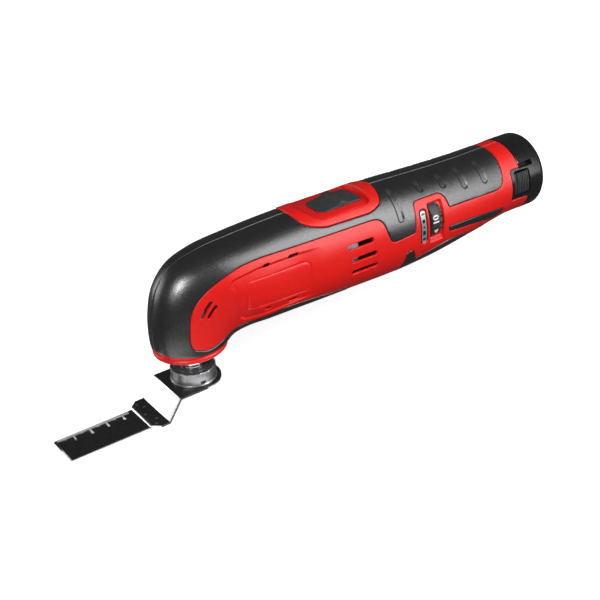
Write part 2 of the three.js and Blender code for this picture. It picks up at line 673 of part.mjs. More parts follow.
// The Z-shaped holder, bent down from the clamping plate to the blade's bracket.
function bladeHolder() {
  const { thickness, plate, bend, foot, drop, bracketEnd, width } = BLADE;
  const top = -GAP / 2;
  const fall = Math.atan2(top - drop, bend - foot);
  const shift = thickness * Math.tan(fall / 2);
  const fold = shapeOf([[plate + 1, top], [bend, top], [foot, drop], [bracketEnd, drop],
    [bracketEnd, drop - thickness], [foot + shift, drop - thickness],
    [bend + shift, top - thickness], [plate + 1, top - thickness]]);
  const outline = new THREE.Shape();
  outline.moveTo(bracketEnd, -width / 2);
  outline.lineTo(bracketEnd + 5, -plate);
  outline.lineTo(0, -plate);
  outline.absarc(0, 0, plate, -Math.PI / 2, Math.PI / 2);
  outline.lineTo(bracketEnd + 5, plate);
  outline.lineTo(bracketEnd, width / 2);
  let piece = sidePrism(fold, -20, 20).intersect(topPrism(outline, -20, 5, 16));
  for (const place of socketPlaces()) {
    piece = piece.add(rod('z', STUDS.radius, top - thickness / 2, STUDS.height, place, 8));
  }
  return piece.subtract(rod('z', 4, -3, 1, [0, 0], 20));
}

function sawBlade() {
  const { thickness, foot, drop, tip, width, teeth, toothDepth } = BLADE;
  const outline = new THREE.Shape();
  const pitch = width / teeth;
  outline.moveTo(foot - 2.4, -width / 2);
  outline.lineTo(foot - 2.4, width / 2);
  for (let i = 0; i < teeth; i += 1) {
    const y = width / 2 - i * pitch;
    outline.lineTo(tip + toothDepth, y);
    outline.lineTo(tip, y - pitch / 2);
  }
  outline.lineTo(tip + toothDepth, -width / 2);
  const top = drop - thickness - GAP / 2;
  return topPrism(outline, top - 1, top);
}

function clampScrew() {
  const head = rod('z', 5, -8.6, -3.9, [0, 0], 24).add(rod('z', 2.8, -4, 15, [0, 0], 16));
  return head.subtract(rod('z', 2.9, -9, -6, [0, 0], 6));
}

// ---------------------------------------------------------------- battery

// A flat shape thickened along Y on one side of the tool only.
function onSide(side, shape, near, far) {
  return side < 0 ? sidePrism(shape, -far, -near) : sidePrism(shape, near, far);
}

function latchPocket(side, clearance) {
  const { front, rear, low, high, inner, outer, travel } = LATCH;
  const c = clearance;
  const window = roundedRectangle(front - c, low - c, rear + c, high + c, 1.2);
  return onSide(side, window, inner - (c ? travel + c : 0), outer);
}

// The cap: a cup over the cells' rear ends, with a lug on each side that carries a latch.
function batteryCap() {
  const { seam, end, radius, wall, z } = BATTERY;
  const front = seam + GAP;
  const round = 3;
  const profile = [[0, front], [radius, front], [radius, end - round]];
  for (let i = 1; i <= 3; i += 1) {
    const angle = (Math.PI / 2) * (i / 3);
    profile.push([radius - round + round * Math.cos(angle), end - round + round * Math.sin(angle)]);
  }
  profile.push([0, end]);
  const cup = turnedAlongX(profile, BATTERY_AXIS);
  const cellRoom = endPrism(stemShape(CELLS.radius + 0.5), front - 1, 242, 3);
  const rearRoom = rod('x', 15, 241, end - wall, BATTERY_AXIS, 20);
  const tongueRoom = tube('x', 40, radius - 2.6, 200, TONGUE.rear + GAP, BATTERY_AXIS, 32)
    .intersect(box([200, -40, 0], [TONGUE.rear + GAP, 40, TONGUE.top + GAP]));
  const lugs = tube('x', radius - 0.2, radius - 1.8, 221.9, front + 1, BATTERY_AXIS, 32)
    .intersect(box([221.9, -40, TONGUE.top + GAP], [front + 1, 40, 67.1]));
  let cap = cup.subtract(cellRoom).subtract(rearRoom).subtract(tongueRoom).add(lugs);
  for (const side of [-1, 1]) {
    const slit = roundedRectangle(228, z + 11.6, 239, z + 13, 0.3);
    cap = cap.subtract(latchPocket(side, GAP)).subtract(onSide(side, slit, 18, 40));
  }
  return cap;
}

function latchButton(side) {
  const { front, rear, low, high, outer } = LATCH;
  const cover = rod('x', BATTERY.radius - 0.1, 220, 240, BATTERY_AXIS, 48);
  let button = latchPocket(side, 0).intersect(cover);
  for (let x = front + 3; x < rear - 1; x += 2) {
    const groove = roundedRectangle(x, low + 1, x + 0.9, high - 1, 0.2);
    button = button.subtract(onSide(side, groove, BATTERY.radius - 1.2, outer));
  }
  return button;
}

// A rounded triangle around the three cells, one cell low and two high.
function stemShape(radius) {
  const shape = new THREE.Shape();
  for (let i = 0; i < CELLS.count; i += 1) {
    const angle = -Math.PI / 2 + (2 * Math.PI * i) / CELLS.count;
    const y = CELLS.pitchCircle * Math.cos(angle);
    const z = CELLS.z + CELLS.pitchCircle * Math.sin(angle);
    shape.absarc(y, z, radius, angle - Math.PI / 3, angle + Math.PI / 3);
  }
  return shape;
}

function batterySleeve() {
  const outside = endPrism(stemShape(CELLS.radius + CELLS.sleeve), BATTERY.front, BATTERY.seam, 3);
  const inside = endPrism(stemShape(CELLS.radius + 0.3), BATTERY.front + 1.4, 240, 3);
  const latchRoom = box([222, -18.4, 49], [240, 18.4, 66.5]);
  const rearEnd = box([222, -40, 49], [240, 40, 66.5]).subtract(latchRoom);
  let sleeve = outside.subtract(inside).subtract(rearEnd);
  for (const y of [-6, 0, 6]) {
    sleeve = sleeve.subtract(box([160, y - 1, 49.5], [170, y + 1, 54.5]));
  }
  return sleeve;
}

function batteryCell(index) {
  const angle = -Math.PI / 2 + (2 * Math.PI * index) / CELLS.count;
  const place = [CELLS.pitchCircle * Math.cos(angle), CELLS.z + CELLS.pitchCircle * Math.sin(angle)];
  return rod('x', CELLS.radius - 0.1, CELLS.front, CELLS.front + CELLS.length, place, 18);
}

function contactClips() {
  let piece = box([171.6, -9, 56], [174, 9, 58]);
  for (const y of [-6, 0, 6]) {
    for (const low of [y - 1.6, y + 0.8]) {
      piece = piece.add(box([171.6, low, 50], [174, low + 0.8, 57]));
    }
  }
  return piece;
}

// ---------------------------------------------------------------- the assembly

const tool = new THREE.Group();

function place(name, solid, material) {
  const { vertProperties, triVerts, numProp } = solid.getMesh();
  if (numProp !== 3) {
    throw new Error(`${name} carries more than positions`);
  }
  const geometry = new THREE.BufferGeometry();
  geometry.setAttribute('position', new THREE.BufferAttribute(vertProperties, 3));
  geometry.setIndex(new THREE.BufferAttribute(triVerts, 1));
  geometry.computeVertexNormals();
  const mesh = new THREE.Mesh(geometry, material);
  mesh.name = name;
  tool.add(mesh);
}

function placeHousing() {
  const { left, right } = housingHalves();
  const { grip, pad, stripe } = gripPieces();
  place('left_housing', left, RED);
  place('right_housing', right, RED);
  place('left_grip', grip.intersect(leftSide), RUBBER_BLACK);
  place('right_grip', grip.intersect(rightSide), RUBBER_BLACK);
  place('left_belly_pad', pad.intersect(leftSide), RUBBER_BLACK);
  place('right_belly_pad', pad.intersect(rightSide), RUBBER_BLACK);
  place('left_side_stripe', stripe.intersect(leftSide), RUBBER_BLACK);
  place('right_side_stripe', stripe.intersect(rightSide), RUBBER_BLACK);
  place('nose_ring', noseRing(), RED);
  place('switch_bezel', switchBezel(), RED);
  place('gauge_strip', gaugeStrip(), LIGHT_GREY);
  SCREWS.forEach(([x, z], i) => {
    const { shank, head, seat, tip } = SCREW;
    const body = rod('y', shank, tip, seat + 0.5, [x, z], 6);
    const cap = rod('y', head, seat + 0.1, seat + 2.2, [x, z], 10);
    const drive = rod('y', 1.3, seat + 1, seat + 3, [x, z], 6);
    place(`housing_screw_${i + 1}`, body.add(cap).subtract(drive), DARK_STEEL);
  });
}

function placeDrive() {
  place('gear_case', gearCase(), ALUMINIUM);
  place('spindle_seal', tube('z', 10.6, SPINDLE.neck + 0.1, 20.6, 24.6), RUBBER_BLACK);
  place('lower_bearing', ballBearing('z', 11.5, SPINDLE.shaft + 0.1, 26.5, 35), STEEL);
  place('upper_bearing', ballBearing('z', 9.5, SPINDLE.tip + 0.1, 52.8, 58.8), STEEL);
  place('spindle', spindle(), STEEL);
  place('fork_lever', forkLever(), STEEL);
  place('drive_flange', driveFlange(), STEEL);
  place('dust_washer', tube('z', 12, SPINDLE.neck + 0.2, 7.3, 7.9), DARK_GREY);
}

function placeMotor() {
  place('motor_can', motorCan(), STEEL);
  place('motor_end_bell', motorEndBell(), BLACK);
  place('magnet_left', magnet(-1), MAGNET);
  place('magnet_right', magnet(1), MAGNET);
  [-MOTOR.screws, MOTOR.screws].forEach((y, i) => {
    const shank = rod('x', 1.4, 35, 42.5, [y, MOTOR.z], 8);
    const head = rod('x', 2, 34.2, 35.9, [y, MOTOR.z], 10);
    place(`motor_screw_${i + 1}`, shank.add(head), DARK_STEEL);
  });
  place('motor_shaft', rod('x', MOTOR.shaft, 21.6, 105, MOTOR_AXIS, 16), STEEL);
  place('armature', armature(), COPPER);
  place('commutator', tube('x', 4.2, MOTOR.shaft + FIT, 91, 99, MOTOR_AXIS, 18), COPPER);
  place('eccentric', eccentric(), STEEL);
  const centre = [0, MOTOR.z + ECCENTRIC.offset];
  const { bearing, radius, front, rear } = ECCENTRIC;
  place('eccentric_bearing', ballBearing('x', bearing, radius + 0.1, front, rear, centre), STEEL);
  [-1, 1].forEach((side, i) => {
    const low = side < 0 ? -12 : 4.5;
    place(`carbon_brush_${i + 1}`, box([93, low, 48.6], [97, low + 7.5, 53.4]), BLACK);
  });
}

function placeElectrics() {
  place('switch_module', switchModule(), BLACK);
  place('speed_board', speedBoard(), GREEN_BOARD);
  place('dial_potentiometer', dialPotentiometer(), BLACK);
  place('terminal_block', terminalBlock(), BLACK);
  const batteryPath = [[162.1, 6, 58], [155, 8, 67], [144, 7, 68], [135, 4, 64.4]];
  const motorPath = [[111.2, 4, 66], [109.4, 5, 64], [108.6, 6, 58], [107.6, 6, 56]];
  place('battery_lead', wire(batteryPath, LEAD_RADIUS), LEAD_RED);
  place('motor_lead', wire(motorPath, LEAD_RADIUS), LEAD_BLACK);
  place('switch_knob', switchKnob(), DARK_GREY);
  place('switch_link', switchLink(), BLACK);
  place('dial_wheel', dialWheel(), BLACK);
  place('dial_shaft', rod('x', 1.4, 149.3, 158, DIAL_AXIS, 12), STEEL);
}

function placeAccessory() {
  place('blade_holder', bladeHolder(), DARK_STEEL);
  place('saw_blade', sawBlade(), DARK_STEEL);
  place('clamp_washer', tube('z', 8, 3.2, -3.6, -1.7, [0, 0], 32), STEEL);
  place('clamp_screw', clampScrew(), DARK_STEEL);
}

function placeBattery() {
  place('battery_cap', batteryCap(), BLACK);
  place('battery_sleeve', batterySleeve(), BLACK);
  for (let i = 0; i < CELLS.count; i += 1) {
    place(`battery_cell_${i + 1}`, batteryCell(i), CELL_WRAP);
  }
  place('battery_contacts', contactClips(), BRASS);
  place('latch_left', latchButton(-1), BLACK);
  place('latch_right', latchButton(1), BLACK);
}

placeHousing();
placeDrive();
placeMotor();
placeElectrics();
placeAccessory();
placeBattery();

const bounds = new THREE.Box3().setFromObject(tool);
tool.position.set(-(bounds.min.x + bounds.max.x) / 2, 0, -bounds.min.z);

export default tool;
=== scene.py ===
"""Looks of the cordless oscillating multi-tool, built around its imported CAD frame.

Pieces are drawn in millimetres in the tool's own frame: x = 0 and y = 0 on the spindle axis,
z = 0 on the flange face that the accessory seats on, the blade towards -X and the battery
towards +X. place() moves each finished mesh into the row frame.
"""

import math
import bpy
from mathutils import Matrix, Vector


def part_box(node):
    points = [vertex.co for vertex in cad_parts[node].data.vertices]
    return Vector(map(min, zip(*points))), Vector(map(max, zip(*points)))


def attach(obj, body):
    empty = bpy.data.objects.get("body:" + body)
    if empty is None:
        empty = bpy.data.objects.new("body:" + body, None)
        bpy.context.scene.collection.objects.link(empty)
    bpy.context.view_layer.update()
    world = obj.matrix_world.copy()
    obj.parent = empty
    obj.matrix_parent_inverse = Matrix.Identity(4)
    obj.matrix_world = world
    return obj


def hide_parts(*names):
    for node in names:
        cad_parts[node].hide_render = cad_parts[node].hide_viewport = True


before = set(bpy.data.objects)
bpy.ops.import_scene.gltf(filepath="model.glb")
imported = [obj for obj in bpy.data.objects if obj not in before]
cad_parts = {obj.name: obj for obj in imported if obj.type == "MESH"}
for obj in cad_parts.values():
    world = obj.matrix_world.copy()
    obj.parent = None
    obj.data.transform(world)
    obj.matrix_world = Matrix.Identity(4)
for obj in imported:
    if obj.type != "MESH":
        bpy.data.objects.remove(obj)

from types import SimpleNamespace

import bmesh
import bpy
import numpy as np
from mathutils import Matrix, Vector

for start_object in ("Cube", "Light", "Camera"):
    if start_object in bpy.data.objects:
        bpy.data.objects.remove(bpy.data.objects[start_object])
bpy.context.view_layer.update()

# ---------------------------------------------------------------- frame and dimensions

FLANGE_LOW, FLANGE_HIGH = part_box("drive_flange")
AXIS_X = (FLANGE_LOW.x + FLANGE_HIGH.x) / 2
SEAT_Z = FLANGE_LOW.z
TO_ROW = Matrix.Translation((AXIS_X, 0, SEAT_Z)) @ Matrix.Scale(0.001, 4)

# Sections of the body: top rail x, z; bottom rail x, z; half width; squareness.
SECTIONS = np.array([
    (-21.4, 19, 21.4, 19, 19.7, 2.1),
    (-22.4, 31, 23.4, 21.6, 18.6, 2.2),
    (-21.2, 46, 27, 22.6, 18.7, 2.25),
    (-16.5, 61, 32, 22.6, 19.6, 2.25),
    (-6.5, 71.8, 38, 22.6, 21, 2.25),
    (10, 76.8, 46.5, 22.8, 24, 2.25),
    (35, 79, 58, 22.9, 25.3, 2.25),
    (65, 80.4, 76, 22.4, 25.4, 2.25),
    (100, 80.6, 100, 22.1, 25.6, 2.25),
    (135, 79.8, 135, 22, 26.2, 2.25),
    (165, 78.5, 165, 23.8, 26, 2.2),
    (200, 77.8, 200, 28.2, 24.9, 2.1),
    (224, 78.5, 224, 31, 23.8, 2),
    (240, 78.7, 240, 31.3, 23.7, 2),
])
CELL = 1.6  # size of the body mesh's cells before its features are cut in
MEAN_RADIUS = 27  # of the body, to count the cells round it
SNAP = 0.012  # a slice takes a vertex that is this near instead of making a new one
THINNEST = 0.4  # the least thickness of a shell
POLE = 0.02  # below this sine of the angle a point is on the body's top or bottom line
WALL = 3.2
THIN_WALL = 1.6  # round the vents
RUBBER = 1.6
SEAM = 0.12  # half of the gap between the two housing halves
GAP = 0.15  # half of the gap between the rubber and the plastic
RED_LEVEL = -0.15  # the red plastic lies this much lower than the rubber
NOSE_TOP = 22.45
BATTERY_SEAM = 229.2
BATTERY_Z = 55.0
BATTERY_RADIUS = 23.7
TONGUE_REAR, TONGUE_TOP = 236.6, 47.2
DIAL_Y, DIAL_Z, DIAL_RADIUS = -14.5, 55.0, 13.0
DIAL_FRONT, DIAL_REAR = 154.2, 161.4


# ---------------------------------------------------------------- flat outlines


def catmull(points, steps):
    """The points of a uniform Catmull-Rom line through points, without the first one."""
    found = []
    last = len(points) - 1
    for i in range(last):
        p0, p1 = points[max(i - 1, 0)], points[i]
        p2, p3 = points[i + 1], points[min(i + 2, last)]
        for k in range(1, steps + 1):
            w = k / steps
            spot = []
            for a, b, c, d in zip(p0, p1, p2, p3):
                v0, v1 = (c - a) / 2, (d - b) / 2
                cubic = (2 * b - 2 * c + v0 + v1) * w**3
                spot.append(cubic + (-3 * b + 3 * c - 2 * v0 - v1) * w**2 + v0 * w + b)
            found.append(tuple(spot))
    return found


def outline(start, *moves, steps=8):
    """A closed outline. A move is a point, ("curve", points...) or ("bend", control, end)."""
    points = [start]
    for move in moves:
        if move[0] == "curve":
            points += catmull([points[-1], *move[1:]], steps)
        elif move[0] == "bend":
            a, b, c = points[-1], move[1], move[2]
            for k in range(1, steps + 1):
                w = k / steps
                points.append(tuple(
                    (1 - w) ** 2 * p + 2 * w * (1 - w) * q + w**2 * r
                    for p, q, r in zip(a, b, c)
                ))
        else:
            points.append(move)
    return points


def polar(radius, angle, centre=(0, 0)):
    """The point of a circle at an angle in radians."""
    return centre[0] + radius * math.cos(angle), centre[1] + radius * math.sin(angle)


def rounded_box(left, low, right, high, radius):
    """A rectangle with round corners, each drawn in six steps."""
    points = []
    for x, z, start in ((right, low, -90), (right, high, 0), (left, high, 90), (left, low, 180)):
        centre = (x - radius if x == right else x + radius, z - radius if z == high else z + radius)
        points += [polar(radius, math.radians(start + 90 * k / 6), centre) for k in range(7)]
    return points


def line_distance(u, v, points):
    """The distance from each (u, v) to an open line."""
    best = np.full(u.shape, 1e9)
    for (ax, ay), (bx, by) in zip(points, points[1:]):
        ex, ey = bx - ax, by - ay
        length = ex * ex + ey * ey
        if length >= 1e-12:
            w = np.clip(((u - ax) * ex + (v - ay) * ey) / length, 0, 1)
            best = np.minimum(best, (u - ax - w * ex) ** 2 + (v - ay - w * ey) ** 2)
    return np.sqrt(best)


def polygon_distance(u, v, points):
    """The distance from each (u, v) to an outline, below zero inside it."""
    ring = [*points, points[0]]
    inside = np.zeros(u.shape, bool)
    for (ax, ay), (bx, by) in zip(ring, ring[1:]):
        if ay != by:
            inside ^= ((ay > v) != (by > v)) & (u < (bx - ax) * (v - ay) / (by - ay) + ax)
    return line_distance(u, v, ring) * np.where(inside, -1, 1)


def side_distance(p, shape):
    """The distance from points to an outline that is drawn in the side view."""
    return polygon_distance(p[:, 0], p[:, 2], shape)


def top_distance(p, shape):
    """The distance from points to an outline that is drawn in the top view."""
    return polygon_distance(p[:, 0], p[:, 1], shape)


def symmetric(side):
    """Half an outline that starts and ends at y = 0, closed by its mirror image."""
    return side + [(x, -y) for x, y in side[-2:0:-1]]


GRIP = outline(
    (99, 10), (98, 29.4),
    ("curve", (82, 30.9), (66, 33), (51, 34), (40, 32), (30, 31.2), (22, 30.6), (16.9, 28.5),
     (12.4, 26.3), (6, 25.1), (0, 25.2), (-6.4, 27.4)),
    ("curve", (-8.1, 31), (-7.8, 38.5), (-6.2, 47.8), (-2.2, 54.6), (4, 59.9), (13.5, 65),
     (25.2, 68.6), (39, 69.8)),
    (113, 68.8),
    ("curve", (117.2, 68.1), (120.4, 65.1), (122.2, 59), (124.3, 53.4), (127.6, 51.6)),
    (141.9, 52.8), (144, 67.6), ("bend", (144.4, 70.2), (147, 70.4)),
    (163, 70.2), ("bend", (168.2, 69.6), (168.8, 60.6)),
    (207, 59.4), ("bend", (212.4, 59.4), (214.3, 64.6)),
    (217, 76), (218, 95), (-40, 95), (-40, 25.4), (-20, 24.9), (-8, 23.2), (4, 21.6),
    (26.4, 21), (27.5, 10),
)
PAD = outline(
    (133, 10), (136.2, 40), ("bend", (136.8, 42), (140.9, 41.5)), (144.8, 32.6),
    ("curve", (156, 35.2), (168, 37.6), (180, 37.4), (193, 34.4), (206, 34)), (210, 10),
)
STRIPE = [
    (168.2, 48.6), (191.2, 47.6), (214.4, 45), (215.8, 43), (210.2, 38.9), (187.6, 43),
    (170, 44.7), (168, 46),
]
BEZEL = symmetric(outline(
    (68.6, 0), ("curve", (70, -11), (75, -16.2), (84, -18.6)), (113, -19.2),
    ("curve", (119, -18.2), (124.5, -14.5), (128.6, 0)),
))
TRAY = symmetric(outline(
    (75.5, 0), ("curve", (76.5, -6), (79.4, -12), (84, -15.2)), (113, -15.5),
    ("curve", (117.6, -13.6), (119.2, -9), (119.6, 0)),
))
TRAY_FLOOR, TRAY_BOTTOM, TRAY_WALL = 76.4, 75.4, 1.2
LINK_SLOT = rounded_box(87.2, -5, 104, 5, 2)
ARROW = [(79.6, 0), (82.4, 3.2), (83.2, 2.3), (81.2, 0), (83.2, -2.3), (82.4, -3.2)]
NOSE_CUT = [(-60, 0), (26.5, 0), (26.5, NOSE_TOP), (-60, NOSE_TOP)]
REAR_CUT = outline(
    (BATTERY_SEAM, 110), (BATTERY_SEAM, 67.4), (223.3, 67.4), ("bend", (221.3, 67.4), (221.3, 65.4)),
    (221.3, 49), ("bend", (221.3, TONGUE_TOP), (223.1, TONGUE_TOP)), (233.4, TONGUE_TOP),
    ("bend", (TONGUE_REAR, TONGUE_TOP), (TONGUE_REAR, 43.6)), (TONGUE_REAR, 0), (280, 0), (280, 110),
)
DIAL_WINDOW = rounded_box(153.6, 44.6, 162, 65.2, 1.2)
DIAL_BAY = rounded_box(152.9, 41.2, 164.4, 67.2, 1.6)
GAUGE_WINDOW = rounded_box(146.2, 43.4, 151.6, 65, 1.9)
GAUGE_MARKS = [
    (147.7, 61.4, 150.3, 62.7, 0.3), (147.9, 56.6, 149.9, 58.9, 0.4), (148.2, 53.4, 149.6, 54.6, 0.3),
    (147.9, 49.0, 149.9, 51.7, 0.4), (147.7, 45.5, 150.3, 46.8, 0.3),
]
VENTS = [((95, 58.4), (110.4, 58.4)), ((97, 49.6), (112.4, 49.6)), ((97.4, 41.4), (113, 41.4))]
HEAD_VENTS = [
    [(6.2, 54), (2.8, 50.4), (0, 46.2)],
    [(8.9, 50.8), (5.9, 47.8), (3.9, 45)],
]
PANEL_OPENINGS = [
    ((39.3, 65.3), (42.2, 65.4)), ((55.8, 65.5), (60.8, 65.5)),
    ((38.8, 38), (41, 38)), ((53.6, 38), (58.8, 38)),
]
PANEL = outline(
    (22.8, 36.9), (19.2, 56), ("curve", (17.9, 60.1), (18.4, 62.4), (20.3, 63.4)), (35.6, 65.6),
    (62, 65.7), (96, 64), (96, 36), (60, 36.2), (36, 34.2), (27, 34.2),
)
BADGE = outline(
    (27.5, 41.4), (28.3, 58.9), (63.8, 59.5), ("bend", (68, 59.5), (68, 55.4)), (67.8, 45),
    ("bend", (67.6, 41), (63.5, 41)),
)
RIBS = [(133, 70.7, 22), (153.5, 41, 19), (170, 45.6, 18), (184.8, 56.8, 18), (200.6, 60.6, 18)]
GIRTH_SCALE = 0.47  # millimetres round the body to one degree of a section's angle


# ---------------------------------------------------------------- the body's surface


def rail_value(t, columns):
    """A centripetal Catmull-Rom line through the sections' columns, at t from 0 to 1."""
    points = SECTIONS[:, columns]
    points = np.vstack([2 * points[0] - points[1], points, 2 * points[-1] - points[-2]])
    count = len(SECTIONS) - 1
    place = np.clip(t, 0, 1) * count
    i = np.minimum(place.astype(int), count - 1)
    w = (place - i)[:, None]
    p0, p1, p2, p3 = (points[i + k] for k in range(4))
    d0, d1, d2 = (
        (((b - a) ** 2).sum(1) ** 0.25)[:, None] for a, b in ((p0, p1), (p1, p2), (p2, p3))
    )
    m1 = ((p1 - p0) / d0 - (p2 - p0) / (d0 + d1) + (p2 - p1) / d1) * d1
    m2 = ((p2 - p1) / d1 - (p3 - p1) / (d1 + d2) + (p3 - p2) / d2) * d1
    cubic = 2 * p1 - 2 * p2 + m1 + m2
    return ((cubic * w - 3 * p1 + 3 * p2 - 2 * m1 - m2) * w + m1) * w + p1


def body_points(t, angle):
    """Points of the body's surface. angle is 0 at the top and grows towards -Y."""
    top, bottom = rail_value(t, [0, 1]), rail_value(t, [2, 3])
    girth = rail_value(t, [4, 5])
    centre, half = (top + bottom) / 2, (top - bottom) / 2
    power = 2 / girth[:, 1]
    c, s = np.cos(angle), np.sin(angle)
    rise = np.sign(c) * np.abs(c) ** power
    out = np.sign(s) * np.abs(s) ** power * girth[:, 0]
    side = centre + half * rise[:, None]
    return np.stack([side[:, 0], -out, side[:, 1]], 1)


def body_normals(t, angle):
    """Unit normals of the body's surface that point outward."""
    step = 1e-4
    a = np.where(np.abs(np.sin(angle)) < POLE, angle + POLE * np.sign(np.cos(angle)), angle)
    along = body_points(np.minimum(t + step, 1), a) - body_points(np.maximum(t - step, 0), a)
    around = body_points(t, a + step) - body_points(t, a - step)
    normal = np.cross(along, around)
    normal /= np.linalg.norm(normal, axis=1)[:, None]
    normal[np.abs(np.sin(angle)) < POLE, 1] = 0
    normal /= np.linalg.norm(normal, axis=1)[:, None]
    centre = (rail_value(t, [0, 1]) + rail_value(t, [2, 3])) / 2
    outward = body_points(t, a) - np.pad(centre, ((0, 0), (0, 1)))[:, [0, 2, 1]]
    flip = np.sign((normal * outward).sum(1))
    return normal * flip[:, None]


def edge_keys(tris, size):
    """One number for each triangle's three edges, the same from both sides."""
    after = np.roll(tris, -1, 1)
    return (np.minimum(tris, after) * size + np.maximum(tris, after)).ravel()


def crossing(a, b):
    """How far along from a to b a value passes 0, or -1 where it doesn't."""
    apart = a * b < 0
    return np.where(apart, a / np.where(apart, a - b, 1), -1.0)


class Skin:
    """A sheet of triangles on the body's surface that can be refined, sliced and trimmed."""

    def __init__(self, low_t, high_t, low_angle, high_angle):
        counts = []
        for i in range(len(SECTIONS) - 1):
            top = math.dist(SECTIONS[i, 0:2], SECTIONS[i + 1, 0:2])
            low = math.dist(SECTIONS[i, 2:4], SECTIONS[i + 1, 2:4])
            between = 0.65 * top + 0.35 * low
            counts.append(max(3, math.ceil(between / CELL)))
        rows = [(i + k / n) / len(counts) for i, n in enumerate(counts) for k in range(n)]
        rows = np.array([t for t in rows + [1.0] if low_t <= t <= high_t])
        across = math.ceil(abs(high_angle - low_angle) * MEAN_RADIUS / CELL)
        angles = np.linspace(low_angle, high_angle, across + 1)
        t, angle = np.meshgrid(rows, angles, indexing="ij")
        self.t, self.angle = t.ravel(), angle.ravel()
        n = across + 1
        i, j = np.meshgrid(np.arange(len(rows) - 1), np.arange(across), indexing="ij")
        a = (i * n + j).ravel()
        even = ((i + j) % 2 == 0).ravel()
        corners = [
            ((a, a + n, a + n + 1), (a, a + n, a + 1)),
            ((a, a + n + 1, a + 1), (a + n, a + n + 1, a + 1)),
        ]
        self.tris = np.vstack([
            np.where(even[:, None], np.stack(one, 1), np.stack(other, 1)) for one, other in corners
        ])
        self.fields = {}

    def copy(self):
        twin = object.__new__(Skin)
        twin.t, twin.angle, twin.tris = self.t.copy(), self.angle.copy(), self.tris.copy()
        twin.fields = {k: v.copy() for k, v in self.fields.items()}
        return twin

    def points(self):
        return body_points(self.t, self.angle)

    def _split(self, share):
        """Cuts edges. share(a, b) says how far along each edge the cut is, or below 0 for none."""
        keys, which = np.unique(edge_keys(self.tris, len(self.t)), return_inverse=True)
        edges = np.stack(np.divmod(keys, len(self.t)), 1)
        part = share(edges[:, 0], edges[:, 1])
        cut = part >= 0
        number = np.full(len(edges), -1)
        number[cut] = len(self.t) + np.arange(cut.sum())
        a, b, w = edges[cut, 0], edges[cut, 1], part[cut]
        self.t = np.concatenate([self.t, self.t[a] * (1 - w) + self.t[b] * w])
        self.angle = np.concatenate([self.angle, self.angle[a] * (1 - w) + self.angle[b] * w])
        for name, value in self.fields.items():
            self.fields[name] = np.concatenate([value, value[a] * (1 - w) + value[b] * w])
        mids = number[which].reshape(-1, 3)
        count = (mids >= 0).sum(1)
        tris = self.tris
        turn = np.where(count == 1, np.argmax(mids >= 0, 1), 0)
        turn = np.where(count == 2, (np.argmax(mids < 0, 1) + 1) % 3, turn)
        pick = (np.arange(3)[None] + turn[:, None]) % 3
        tris = np.take_along_axis(tris, pick, 1)
        mids = np.take_along_axis(mids, pick, 1)
        v0, v1, v2 = tris.T
        m0, m1, m2 = mids.T
        made = [tris[count == 0]]

        def add(mask, *corners):
            made.append(np.stack([c[mask] for c in corners], 1))

        one, two, three = count == 1, count == 2, count == 3
        add(one, v0, m0, v2)
        add(one, m0, v1, v2)
        add(two, m0, v1, m1)
        add(two, v0, m0, m1)
        add(two, v0, m1, v2)
        for corners in ((v0, m0, m2), (m0, v1, m1), (m2, m1, v2), (m0, m1, m2)):
            add(three, *corners)
        self.tris = np.vstack(made)

    def refine(self, near):
        """Halves the cells around the vertices where near is true."""
        size = len(self.t)
        marked = near[self.tris].any(1)
        keys = np.unique(edge_keys(self.tris[marked], size))
        self._split(lambda a, b: np.where(np.isin(a * size + b, keys), 0.5, -1.0))

    def slice(self, field, *levels):
        """Cuts the sheet's edges where a field passes each level."""
        for level in levels:
            value = self.fields[field] - level
            value[np.abs(value) < SNAP] = 0
            self._split(lambda a, b: crossing(value[a], value[b]))

    def middles(self):
        """Every field's value at the middle of each triangle."""
        return {k: v[self.tris].mean(1) for k, v in self.fields.items()}

    def keep(self, test):
        """Keeps the triangles whose middle passes test(fields)."""
        self.tris = self.tris[test(self.middles())]
        used, self.tris = np.unique(self.tris, return_inverse=True)
        self.tris = self.tris.reshape(-1, 3)
        self.t, self.angle = self.t[used], self.angle[used]
        self.fields = {k: v[used] for k, v in self.fields.items()}

    def solid(self, name, height, depth, marks=None):
        """A closed shell: the sheet raised by height, its back at depth, and walls between."""
        base = self.points()
        normal = body_normals(self.t, self.angle)
        outer = base + normal * height[:, None]
        inner = base + normal * np.minimum(depth, height - THINNEST)[:, None]
        area = np.cross(outer[self.tris[:, 1]] - outer[self.tris[:, 0]],
                        outer[self.tris[:, 2]] - outer[self.tris[:, 0]])
        facing = (area * normal[self.tris[:, 0]]).sum(1).sum()
        tris = self.tris if facing > 0 else self.tris[:, ::-1]
        ends = np.stack([tris, np.roll(tris, -1, 1)], 2).reshape(-1, 2)
        keys = edge_keys(tris, len(self.t))
        _, which, uses = np.unique(keys, return_inverse=True, return_counts=True)
        rim = ends[uses[which] == 1]
        n = len(base)
        walls = np.stack([rim[:, 1], rim[:, 0], rim[:, 0] + n, rim[:, 1] + n], 1)
        faces = tris.tolist() + (tris[:, ::-1] + n).tolist() + walls.tolist()
        mesh = bpy.data.meshes.new(name)
        mesh.from_pydata(np.vstack([outer, inner]).tolist(), [], faces)
        if marks is not None:
            index = np.zeros(len(faces), np.int32)
            index[: len(tris)] = marks(self.middles())
            mesh.polygons.foreach_set("material_index", index)
        return link(mesh, name)


def edge_round(distance, radius):
    """How far the surface drops at each distance from an edge that is rounded by radius."""
    gone = np.clip(radius - distance, 0, radius)
    return radius - np.sqrt(np.maximum(radius**2 - gone**2, 0))


def smooth_step(value, low, high):
    """0 at low and 1 at high, with a smooth rise between. low may be the larger one."""
    w = np.clip((value - low) / (high - low), 0, 1)
    return w * w * (3 - 2 * w)


